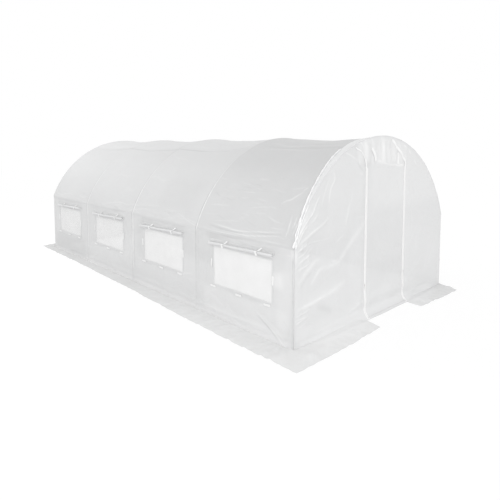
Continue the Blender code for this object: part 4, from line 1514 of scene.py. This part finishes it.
    def bunched_edge(self) -> None:
        """The lap's border gathered into a white rope along the near half of the door arch.

        Two strands wind round each other along the lap's edge. Their thickness grows from
        the crown's side to the left shoulder, where short wrinkles cross them and a third
        strand leaves them for the arch's own edge.
        """
        share = np.linspace(0.0, 1.0, 300)
        root = np.clip(1.0 - share / 0.40, 0.0, 1.0) ** 2
        edge = -self.cover.half_length + self.lap_width(share)
        work = Patchwork()
        for phase in (0.0, math.pi):
            wind = 34.0 * share + phase
            y = edge - 0.003 - 0.020 * root + (0.004 + 0.012 * root) * np.cos(wind)
            path = self.on_roof(share, y, 0.009 + 0.0035 * (1.0 + root) * np.sin(wind))
            bumps = np.sin(173.0 * share + 2.0 * np.sin(31.0 * share) + phase)
            bumps = bumps + np.sin(97.0 * share + 2.0 * phase)
            self.strand(work, path, 0.60 + 0.50 * (1.0 - share) - 0.20 * root + (0.09 + 0.10 * root) * bumps)
        low = 0.34 * share
        y = -self.cover.half_length - 0.004 + 0.004 * (1.0 - share) ** 2
        bumps = np.sin(61.0 * share) + np.sin(37.0 * share + 1.0)
        self.strand(work, self.on_roof(low, y, 0.006 - 0.002 * share), 0.95 - 0.50 * share + 0.14 * bumps)
        work.build("edge_rope_front", self.finishes.rope)

    def strand(self, work: Patchwork, path: Array, grown: Array) -> None:
        """One strand of the rope, with its thickness at each point."""
        grown = np.maximum(grown, 0.25)
        work.strip(path, ALONG, self.off_arch(path), 0.013, 0.015, Section.ROUND, 0.02, grown)

    def build(self) -> None:
        """Both ends and their bindings."""
        self.front()
        self.rear()
        self.seam("front", -1.0)
        self.seam("rear", 1.0)
        self.lap()
        self.bunched_edge()


@dataclass
class ZipDoor:
    """Door sheet between two zips, hung from a fold over the doorway."""

    shape: EndShape
    finishes: Finishes
    tape: float = 0.0195
    gap: float = 0.0008
    tooth: float = 0.0078
    tooth_half: Place = (0.0021, 0.0016, 0.0026)
    held: float = 0.014
    bend: float = 0.150

    def sheet(self) -> None:
        """The loose door film with its thick bottom hem."""
        s = self.shape
        low, high = s.cover.foot + 0.0005, s.top - 0.0002
        x, z = gridded(spaced([s.left, s.right], 0.018), spaced([low, 0.04, high], 0.018))
        sheet = Patchwork().grid(s.place(x, z), stacked(x, z), facing=FRONT, mark=marked(s.slack, x, z))
        piece = sheet.build("door_film", self.finishes.end, "door_panel", body=None)
        self.hang(piece)
        across = np.linspace(s.left + 0.004, s.right - 0.004, 60)
        path = s.place(across, np.full_like(across, low + 0.014), 0.0012)
        Patchwork().strip(path, TOP, FRONT, 0.026, 0.0016).build("door_hem", self.finishes.end, body="door")

    def hang(self, piece: Object) -> None:
        """Bakes a door piece's placement into its mesh."""
        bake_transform(piece)

    def half(self, x: float, out: float) -> tuple[Patchwork, Patchwork]:
        """One half of a zip, beside the seam.

        Args:
            x: Where the seam runs up.
            out: Side of the seam, -1 for its left or 1 for its right.

        Returns:
            The tape and its row of teeth.
        """
        s = self.shape
        z = np.linspace(s.cover.foot + 0.004, s.top - 0.001, 190)
        middle = x + out * (self.gap + self.tape / 2)
        path = s.place(np.full_like(z, middle), z, 0.0013)
        work = Patchwork().strip(path, ACROSS, FRONT, self.tape, 0.0014)
        rise = np.arange(z[0] + 0.004, z[-1] - 0.004, self.tooth)
        rise = rise + (self.tooth / 2 if out > 0 else 0.0)
        corner = np.array([(i, j, k) for i in (-1, 1) for j in (-1, 1) for k in (-1, 1)]) * self.tooth_half
        sides = np.array([(0, 1, 3, 2), (4, 6, 7, 5), (0, 4, 5, 1), (2, 3, 7, 6), (0, 2, 6, 4), (1, 5, 7, 3)])
        seats = s.place(np.full_like(rise, x + out * 0.0024), rise, 0.0028)
        return work, Patchwork().copies(corner, sides, seats)

    def zips(self) -> None:
        """Both zips: the outer half stays on the wall, and the inner half, on the door's side, is tied to no
        body.
        """
        for word, x, out in (("left", self.shape.left, -1.0), ("right", self.shape.right, 1.0)):
            for part, way, body in (("wall", out, ROOT), ("door", -out, None)):
                tape, teeth = self.half(x, way)
                pieces = [tape.build(f"zip_tape_{part}_{word}", self.finishes.tape, slot="webbing",
                                     body=body),
                          teeth.build(f"zip_teeth_{part}_{word}", self.finishes.teeth, slot="zip_metal",
                                      body=body, sharp=30)]
                if body is None:
                    for piece in pieces:
                        self.hang(piece)

    def ribbon(self, name: str, finish: Material, points: Sequence[Point], width: float,
               thick: float, lift: float, tips: float) -> None:
        """Lays a tape on the end film.

        Args:
            name: Piece name.
            finish: Its material.
            points: Places of x and z on its curve.
            width: Full width.
            thick: Full thickness.
            lift: From the film to its middle.
            tips: Length of its rounded ends.
        """
        flat = smooth_path(points, 40)
        way = unit(np.gradient(flat, axis=0))
        path = self.shape.place(flat[:, 0], flat[:, 1], lift)
        across = stacked(way[:, 1], 0.0, -way[:, 0])
        Patchwork().strip(path, across, FRONT, width, thick, tips=tips).build(name, finish, slot="webbing")

    def trim(self) -> None:
        """The sewn-up zip ends that lean to the left above the fold, and the two hanging straps."""
        ends = {
            "left": (0.030, [(-0.348, 1.640), (-0.362, 1.690), (-0.386, 1.750)]),
            "left_tip": (0.014, [(-0.384, 1.742), (-0.420, 1.790), (-0.470, 1.832), (-0.560, 1.872)]),
            "right": (0.032, [(0.488, 1.640), (0.474, 1.705), (0.440, 1.742), (0.360, 1.806), (0.245, 1.895),
                              (0.165, 1.965)])}
        for word, (width, points) in ends.items():
            self.ribbon(f"zip_end_{word}", self.finishes.tape, points, width, 0.0016, 0.0024, 0.012)
        straps = {"left": [(-0.258, 1.866), (-0.228, 1.82), (-0.202, 1.775), (-0.188, 1.722)],
                  "right": [(0.300, 1.812), (0.303, 1.77), (0.303, 1.73), (0.300, 1.678)]}
        for word, points in straps.items():
            self.ribbon(f"door_strap_{word}", self.finishes.tie, points, 0.040, 0.0014, 0.0022, 0.006)

    def sliders(self) -> None:
        """Each slider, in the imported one's box: a waisted body, a bridge over it and a pull with an eye."""
        for word in ("left", "right"):
            low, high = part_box(f"zip_slider_{word}")
            x, z = (low.x + high.x) / 2, high.z - 0.024
            back = high.y - 0.0006
            rise = np.linspace(0.0, 0.024, 9)
            waist = 0.0058 - 0.0012 * np.sin(math.pi * rise / 0.024)
            a, b = oval(0.45, 16)
            body = stacked(x + waist[:, None] * a, back - 0.0027 + 0.0025 * b[None], z + rise[:, None])
            work = Patchwork().grid(body, wrap=True, caps=True)
            arc = np.linspace(0.0, math.pi, 13)
            bridge = stacked(x, back - 0.0046 - 0.0026 * np.sin(arc), z + 0.012 + 0.007 * np.cos(arc))
            lift = unit(bridge - [x, back - 0.0046, z + 0.012])
            work.strip(bridge, ACROSS, lift, 0.0030, 0.0014, Section.ROUND)
            ring = np.linspace(0.0, TAU, 29)
            loop = stacked(x + 0.0040 * np.cos(ring), back - 0.0062, z - 0.012 + 0.022 * np.sin(ring))
            outer = unit(loop - [x, back - 0.0062, z - 0.012])
            work.strip(loop, ALONG, outer, 0.0016, 0.0022, Section.ROUND)
            work.build(f"slider_{word}", self.finishes.slider, f"zip_slider_{word}", slot="zip_metal",
                       body=f"zip_{word}", sharp=40)

    def build(self) -> None:
        """The sheet, both zips, their sliders and the trim above."""
        for part in (self.sheet, self.zips, self.sliders, self.trim):
            part()


@dataclass
class Window:
    """One side window: net, hemmed edge, rolled flap, ties and fastening tabs."""

    cover: Cover
    finishes: Finishes
    side: Side
    number: int
    opening: Opening = Opening()
    roll_half: float = 0.49
    roll_z: float = 0.834
    roll_radius: float = 0.0180
    roll_slope: float = -0.026
    turns: float = 6.0
    band_z: float = 0.860
    tie_at: Point = (0.250, -0.270)
    tab: Point = (0.095, 0.022)

    @property
    def name(self) -> str:
        """Side and number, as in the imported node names."""
        return f"{self.side.word}_{self.number}"

    @property
    def y(self) -> float:
        """Middle of this window's bay."""
        return self.cover.bays[self.number - 1]

    @property
    def roll_out(self) -> float:
        """How far the roll's centre stands outside the wall."""
        return self.roll_radius + 0.0035

    def place(self, out: Array | float, along: Array | float, z: Array | float) -> Array:
        """World points from a distance outside the wall, one along it and a height."""
        return stacked(self.side.value * (self.cover.wall_x + out), self.y + along, z)

    def roll_height(self, along: Array | float) -> Array | float:
        """Height of the roll's middle, which falls evenly towards the rear."""
        return self.roll_z + self.roll_slope * along

    def seed(self, kind: int) -> int:
        """A seed of this window's own for each kind of piece."""
        return 100 * kind + 10 * self.number + self.side.value

    def net(self) -> None:
        """Net behind the opening, a little slack: two low waves across it."""
        o = self.opening
        y, z = gridded(o.shift + np.linspace(-o.half - o.lap, o.half + o.lap, 61),
                       np.linspace(o.low - o.lap, o.high + o.lap, 33))
        slack = Waves(0.0004, 0.7, 0.25, self.seed(1), 6)(y, z)
        sheet = Patchwork().grid(self.place(-0.0022 + slack, y, z), stacked(y, z), facing=self.side.out)
        piece = sheet.build(f"net_{self.name}", self.finishes.net, f"window_net_{self.name}", slot="net")
        f"side_film_{self.side.word}"

    def hem(self) -> None:
        """Welded edge round the opening: a flat strip along a rounded rectangle."""
        o = self.opening
        half_z, middle = (o.high - o.low) / 2, (o.high + o.low) / 2
        past, corner, width = 0.006, 0.012, 0.016
        ring = []
        for quarter, (sy, sz) in enumerate(((1, 1), (-1, 1), (-1, -1), (1, -1))):
            a = np.linspace(quarter, quarter + 1, 9) * math.pi / 2
            ring.append(stacked(sy * (o.half + past - corner) + corner * np.cos(a),
                                sz * (half_z + past - corner) + corner * np.sin(a)))
        loop = np.concatenate([*ring, ring[0][:1]])
        at = run_along(loop)
        even = np.linspace(0.0, at[-1], 181)
        y, z = (np.interp(even, at, loop[:, k]) for k in (0, 1))
        way = unit(np.gradient(stacked(y, z), axis=0))
        path, across = self.place(0.0010, o.shift + y, middle + z), stacked(0.0, way[:, 1], -way[:, 0])
        Patchwork().strip(path, across, self.side.out, width, 0.0012).build(
            f"window_hem_{self.name}", self.finishes.hem)

    def band(self) -> None:
        """Flat welded band above the window that the flap and the ties are sewn to."""
        y = np.linspace(-self.roll_half, self.roll_half, 70)
        wavy = Waves(0.0006, 0.5, 0.12, self.seed(2), 5)(y, y)
        path = self.place(0.0016 + wavy, y, self.band_z + 0.5 * wavy)
        Patchwork().strip(path, TOP, self.side.out, 0.024, 0.0018).build(
            f"band_{self.name}", self.finishes.hem, f"window_band_{self.name}")

    def ties(self) -> None:
        """Two white ties: flat on the wall above the roll, aslant over it and down in front of the net."""
        work = Patchwork()
        r = self.roll_radius + 0.0030
        for at in self.tie_at:
            height = self.roll_height(at)
            turn = np.radians(np.linspace(72.0, -5.0, 14))
            ring_out, ring_z = self.roll_out + r * np.cos(turn), height + r * np.sin(turn)
            down, up = height - np.linspace(0.005, 0.026, 6), np.linspace(height + 0.052, ring_z[0], 9)
            z = np.concatenate([up[:-1], ring_z, down])
            flat, front = np.linspace(0.0034, ring_out[0], 9), np.full_like(down, self.roll_out + r)
            out = np.concatenate([flat[:-1], ring_out, front])
            share = np.linspace(0.0, 1.0, len(out))
            lean = at - 0.055 * (1.0 - ramp(share, 0.0, 0.60)) - 0.016 * ramp(share, 0.60, 1.0)
            path = self.place(out, lean, z)
            lift = unit(np.cross(unit(np.gradient(path, axis=0)), ALONG))
            work.strip(path, ALONG, lift, 0.026, 0.0014, tips=0.004)
        work.build(f"ties_{self.name}", self.finishes.tie, slot="webbing")

    def roll(self) -> None:
        """Rolled flap: a spiral of film, drawn in under each tie and uneven by hand.

        Radius falls steadily along the spiral from the roll's outside to its core, times
        waves round and along it, and each layer slips a little past the one outside it.
        """
        share = np.linspace(0.0, 1.0, int(self.turns * 22))
        y, s = gridded(spaced([-self.roll_half, self.roll_half], 0.022), share)
        angle = math.pi * 0.92 - TAU * self.turns * s
        phase = np.random.default_rng(self.seed(3)).uniform(0.0, TAU, 4)
        radius = self.roll_radius - (self.roll_radius - 0.0030) * s
        pinch = sum(bell(y, at, 0.030) for at in self.tie_at)
        lumps = 0.035 * np.sin(3.0 * angle + phase[0] + 4.0 * y)
        lumps = lumps + 0.030 * np.sin(5.0 * angle + phase[1] - 7.0 * y)
        lumps = lumps + 0.02 * np.sin(TAU * y / 0.21 + phase[2])
        radius = radius * (0.955 + 0.55 * lumps - 0.13 * pinch)
        slip = 0.004 * np.sin(TAU * self.turns * s * 0.37 + phase[3]) * (np.abs(y) / self.roll_half) ** 6
        droop = 0.0020 * (1.0 - pinch) * np.sin(TAU * (y + 0.06) / 0.5)
        z = self.roll_height(y) + radius * np.sin(angle) - droop
        points = self.place(self.roll_out + radius * np.cos(angle), y + slip, z)
        centre = self.place(self.roll_out, y, self.roll_height(y))
        outward = (points - centre)[:-1, :-1].reshape(-1, 3)
        sheet = Patchwork().grid(points, stacked(y, s * 0.5), facing=outward)
        piece = sheet.build(f"roll_{self.name}", self.finishes.roll, f"window_roll_{self.name}",
                            body=f"window_flap_{self.name}")
        f"ties_{self.name}"

    def blind(self) -> None:
        """Margin between the band and the roll."""
        y, z = gridded(spaced([-self.roll_half, self.roll_half], 0.03), np.linspace(0.862, 0.840, 25))
        sheet = Patchwork().grid(self.place(0.0026, y, z), stacked(y, z), facing=self.side.out)
        piece = sheet.build(f"flap_margin_{self.name}", self.finishes.hem, body=None)
        f"window_flap_{self.name}"
        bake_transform(piece)
        f"band_{self.name}"

    def tabs(self) -> None:
        """Five fastening tabs round the opening, each slightly askew and curled."""
        long, wide = self.tab
        o = self.opening
        rng = np.random.default_rng(self.seed(4))
        seats = [(0.470, 0.600, 90.0), (-0.478, 0.598, 90.0), (0.445, o.low - 0.030, 0.0),
                 (0.020, o.low - 0.037, 0.0), (-0.400, o.low - 0.032, 0.0)]
        work = Patchwork()
        for y, z, bearing in seats:
            tilt = math.radians(bearing + rng.uniform(-3.0, 3.0))
            run = np.linspace(-long / 2, long / 2, 22)
            curl = 0.0022 + 0.0006 * (2.0 * run / long) ** 4 * rng.uniform(0.4, 1.0)
            path = self.place(curl, y + run * math.cos(tilt), z + run * math.sin(tilt))
            across = (0.0, -math.sin(tilt), math.cos(tilt))
            work.strip(path, across, self.side.out, wide, 0.0020, tips=0.004)
        work.build(f"tabs_{self.name}", self.finishes.tab, slot="webbing")

    def build(self) -> None:
        """All pieces of this window."""
        for part in (self.net, self.hem, self.band, self.ties, self.roll, self.blind, self.tabs):
            part()


@dataclass
class GroundFlap:
    """Loose skirt of film on the ground round the tunnel, open at the doorway.

    Each station pairs a place at the wall's foot with one on the cut edge, anticlockwise
    seen from above and from the doorway's left side to its right.
    """

    cover: Cover
    finishes: Finishes
    lift: float = 0.0015
    inner_x: float = 1.4955
    inner_y: float = 2.998
    width: float = 0.31
    doorway: Point = (-0.36, 0.50)
    stations: tuple[tuple[float, float, float, float], ...] = (
        (-0.36, -2.998, -0.43, -3.26), (-0.95, -2.998, -1.00, -3.30), (-1.4955, -2.998, -1.81, -3.31),
        (-1.4955, -2.65, -1.81, -2.70), (-1.4955, -1.5, -1.78, -1.50), (-1.4955, -0.20, -1.72, -0.20),
        (-1.4955, 1.20, -1.68, 1.20), (-1.4955, 2.998, -1.66, 3.19), (-1.10, 2.998, -1.10, 3.30),
        (0.0, 2.998, 0.0, 3.31), (1.4955, 2.998, 1.81, 3.29), (1.4955, 0.60, 1.83, 0.60),
        (1.4955, -2.80, 1.81, -2.84), (1.4955, -2.95, 1.52, -2.97), (1.4955, -2.998, 1.515, -3.015),
        (1.38, -2.998, 1.40, -3.29), (1.08, -2.998, 1.10, -3.29), (0.50, -2.998, 0.46, -3.26))

    def build(self) -> None:
        """Grid from foot to edge with ripples that grow outwards and a ragged cut edge.

        Along the door end it comes down from the wall's foot in a slope that falls off
        exponentially; painted shade darkens the left side towards the rear and the whole
        right side, and painted light and shade vary along the door end.
        """
        feet, cuts = np.split(np.array(self.stations), 2, axis=1)
        at = run_along(cuts)
        run = np.unique(np.concatenate([np.arange(0.0, at[-1], 0.022), at]))
        foot, cut = (stacked(*(np.interp(run, at, line[:, k]) for k in (0, 1))) for line in (feet, cuts))
        share = np.linspace(0.0, 1.0, 17)
        ragged = Waves(0.006, 0.9, 0.07, 51, 12)(run, 0.0 * run)
        cut = cut + unit(cut - foot) * np.minimum(ragged, 0.004)[:, None]
        flat = foot[:, None] + (cut - foot)[:, None] * share[None, :, None]
        x, y = flat[..., 0], flat[..., 1]
        s, t = gridded(run, share * self.width)
        ripple = Waves(1.0, 0.8, 0.09, 52, 12, 0.0, 0.5)(s, t)
        cross = Waves(1.0, 0.5, 0.10, 53, 8)(s, t)
        swell = np.clip(0.5 + 0.5 * ripple, 0.0, 1.5) ** 2 * 0.006 + np.clip(cross, 0.0, 1.2) * 0.002
        grow, edge = ramp(t, 0.02, 0.12), 0.0015 * ramp(t, 0.28, self.width)
        inside = (np.abs(x) < self.inner_x) & (y < -self.inner_y)
        under = 1.0 - 0.85 * ramp(y, -3.17, -3.10) * inside
        slope = np.exp(-np.maximum(-y - self.inner_y - 0.035, 0.0) / 0.07)
        slope = slope * ramp(1.46 - np.abs(x), 0.0, 0.6)
        beside = ramp(np.maximum(self.doorway[0] - x, x - self.doorway[1]), 0.0, 0.15)
        z = self.lift + (swell * grow + edge) * under + 0.034 * slope * beside * (y < 0.0)
        # Painted light and shade in the marks: the left side darker towards the rear, the right side darker,
        # and along the door end lighter on its left part and darker towards the right corner.
        left = np.interp(y, (-2.9, -2.2, -1.7, -1.1, 0.16, 1.18, 2.45, 3.2),
                         (-0.24, -0.18, -0.20, -0.36, -0.52, -0.55, -0.70, -0.80))
        front = ramp(-y, 2.95, 3.02)
        before = np.interp(x, (-1.60, -1.20, -0.30, 0.50, 1.00, 1.50),
                           (-0.05, 0.45, 0.45, -0.05, -0.28, -0.50))
        mark = np.where(x < 0.0, left, -0.45) * (1.0 - front) + before * front
        sheet = Patchwork().grid(stacked(x, y, z), stacked(s, t), facing=TOP, mark=mark)
        piece = sheet.build("ground_film", self.finishes.flap, "ground_flap")


@dataclass
class TubeFrame:
    """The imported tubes, which keep their shape and get a galvanised finish."""

    finishes: Finishes
    words: tuple[str, ...] = ("leg_", "arch_", "ridge_", "shoulder_", "base_", "sill_", "door_post",
                              "door_lintel")

    def build(self) -> None:
        """Puts the steel finish on every packed tube."""
        for name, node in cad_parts.items():
            if name.startswith(self.words):
                node.data.materials.clear()
                node.data.materials.append(self.finishes.steel)
                LOG.info("%s: galvanised", name)


@dataclass(frozen=True)
class Softbox:
    """A square area lamp that faces one place."""

    name: str
    place: Place
    target: Place
    size: float
    power: float


@dataclass
class Studio:
    """Plain studio: white surroundings, pale floor, soft light from the door end and over the rear."""

    sky: float = 0.74
    key: float = 0.78
    floor_level: float = 0.88
    floor_glow: float = 0.80
    floor_soft: float = 0.237
    floor_size: float = 60.0
    boxes: tuple[Softbox, ...] = (
        Softbox("near_side", (-6.2, -4.2, 0.6), (-1.5, -2.6, 0.25), 2.0, 50.0),
        Softbox("rear_top", (-2.6, 4.6, 4.6), (-1.0, 1.6, 1.5), 5.0, 44.0),
    )

    def world(self) -> None:
        """White for the camera and in reflections, a little lower as light on the object."""
        world = bpy.data.worlds.new("studio")
        world.use_nodes = True
        world.node_tree.nodes.clear()
        g = Graph(world.node_tree)
        seen = g.rays("Camera", "Glossy", "Transmission")
        soft = g.node("Background", {"Color": grey(1.0), "Strength": self.sky})
        clear = g.node("Background", {"Color": grey(1.0), "Strength": 1.0})
        both = g.node("MixShader", {0: seen, 1: soft.outputs[0], 2: clear.outputs[0]})
        g.node("OutputWorld", {0: both.outputs[0]})
        bpy.context.scene.world = world

    def floor(self) -> None:
        """A wide pale floor that reads white but keeps the object's shadow."""
        half = self.floor_size / 2
        mesh = bpy.data.meshes.new("floor")
        corners = [(x, y, -0.0008) for x, y in ((-half, -half), (half, -half), (half, half), (-half, half))]
        mesh.from_pydata(corners, [], [(0, 1, 2, 3)])
        material, g, shader = blank_material("studio_floor")
        seen = g.rays("Camera", "Glossy")
        lit = g.node("BsdfDiffuse", {"Color": grey(self.floor_level)})
        dim = g.node("BsdfDiffuse", {"Color": grey(self.floor_soft)})
        glow = g.node("Emission", {"Color": grey(1.0), "Strength": self.floor_glow})
        pale = g.node("AddShader", {0: dim.outputs[0], 1: glow.outputs[0]})
        both = g.node("MixShader", {0: seen, 1: lit.outputs[0], 2: pale.outputs[0]})
        material.node_tree.nodes.remove(shader)
        g.feed(material.node_tree.nodes["Material Output"].inputs["Surface"], both.outputs[0])
        mesh.materials.append(material)
        piece = added("floor", mesh)

    def lamp(self, light: Light, place: Sequence[float], towards: Sequence[float]) -> None:
        """Stands a lamp at a place and turns it along a direction."""
        lamp = added(light.name, light)
        lamp.location = place
        lamp.rotation_euler = Vector(towards).to_track_quat("-Z", "Y").to_euler()

    def build(self) -> None:
        """World, floor, key sun and softboxes."""
        self.world()
        self.floor()
        sun = bpy.data.lights.new("key", "SUN")
        sun.energy, sun.angle = self.key, math.radians(20.0)
        self.lamp(sun, (0.0, 0.0, 6.0), (0.28, 0.86, -0.42))
        for box in self.boxes:
            light = bpy.data.lights.new(box.name, "AREA")
            light.energy, light.size = box.power, box.size
            self.lamp(light, box.place, Vector(box.target) - Vector(box.place))


@dataclass
class PhotoCamera:
    """The photograph's camera: low and close to the near corner of the door end."""

    place: Place = (-4.561, -5.693, 1.879)
    yaw: float = 42.97
    pitch: float = 4.2
    focal_px: float = 452.3
    frame_px: float = 500.0
    rise_px: float = 70.0

    def build(self) -> None:
        """Lens from the focal length in pixels, and a shift for the cropped framing."""
        data = bpy.data.cameras.new("camera")
        data.sensor_width = 36.0
        data.lens = 36.0 * self.focal_px / self.frame_px
        data.shift_y = -self.rise_px / self.frame_px
        data.clip_start, data.clip_end = 0.05, 200.0
        camera = bpy.context.scene.camera = added("camera", data)
        camera.location = self.place
        camera.rotation_euler = (math.radians(90.0 - self.pitch), 0.0, math.radians(-self.yaw))


def main() -> None:
    """Builds every sub-assembly in order."""
    logging.basicConfig(level=logging.INFO, format="%(message)s")
    bpy.context.scene.view_settings.view_transform = "Standard"
    PhotoCamera().build()
    Studio().build()
    finishes = Finishes()
    cover = Cover.from_frame()
    shape = EndShape(cover)
    TubeFrame(finishes).build()
    roof = RoofFilm(cover, finishes)
    roof.build()
    for side in Side:
        SideWall(cover, finishes, side).build()
        for number in range(1, len(cover.bays) + 1):
            Window(cover, finishes, side, number).build()
    EndWalls(cover, finishes, shape, roof).build()
    ZipDoor(shape, finishes).build()
    GroundFlap(cover, finishes).build()


if __name__ == "__main__":
    main()
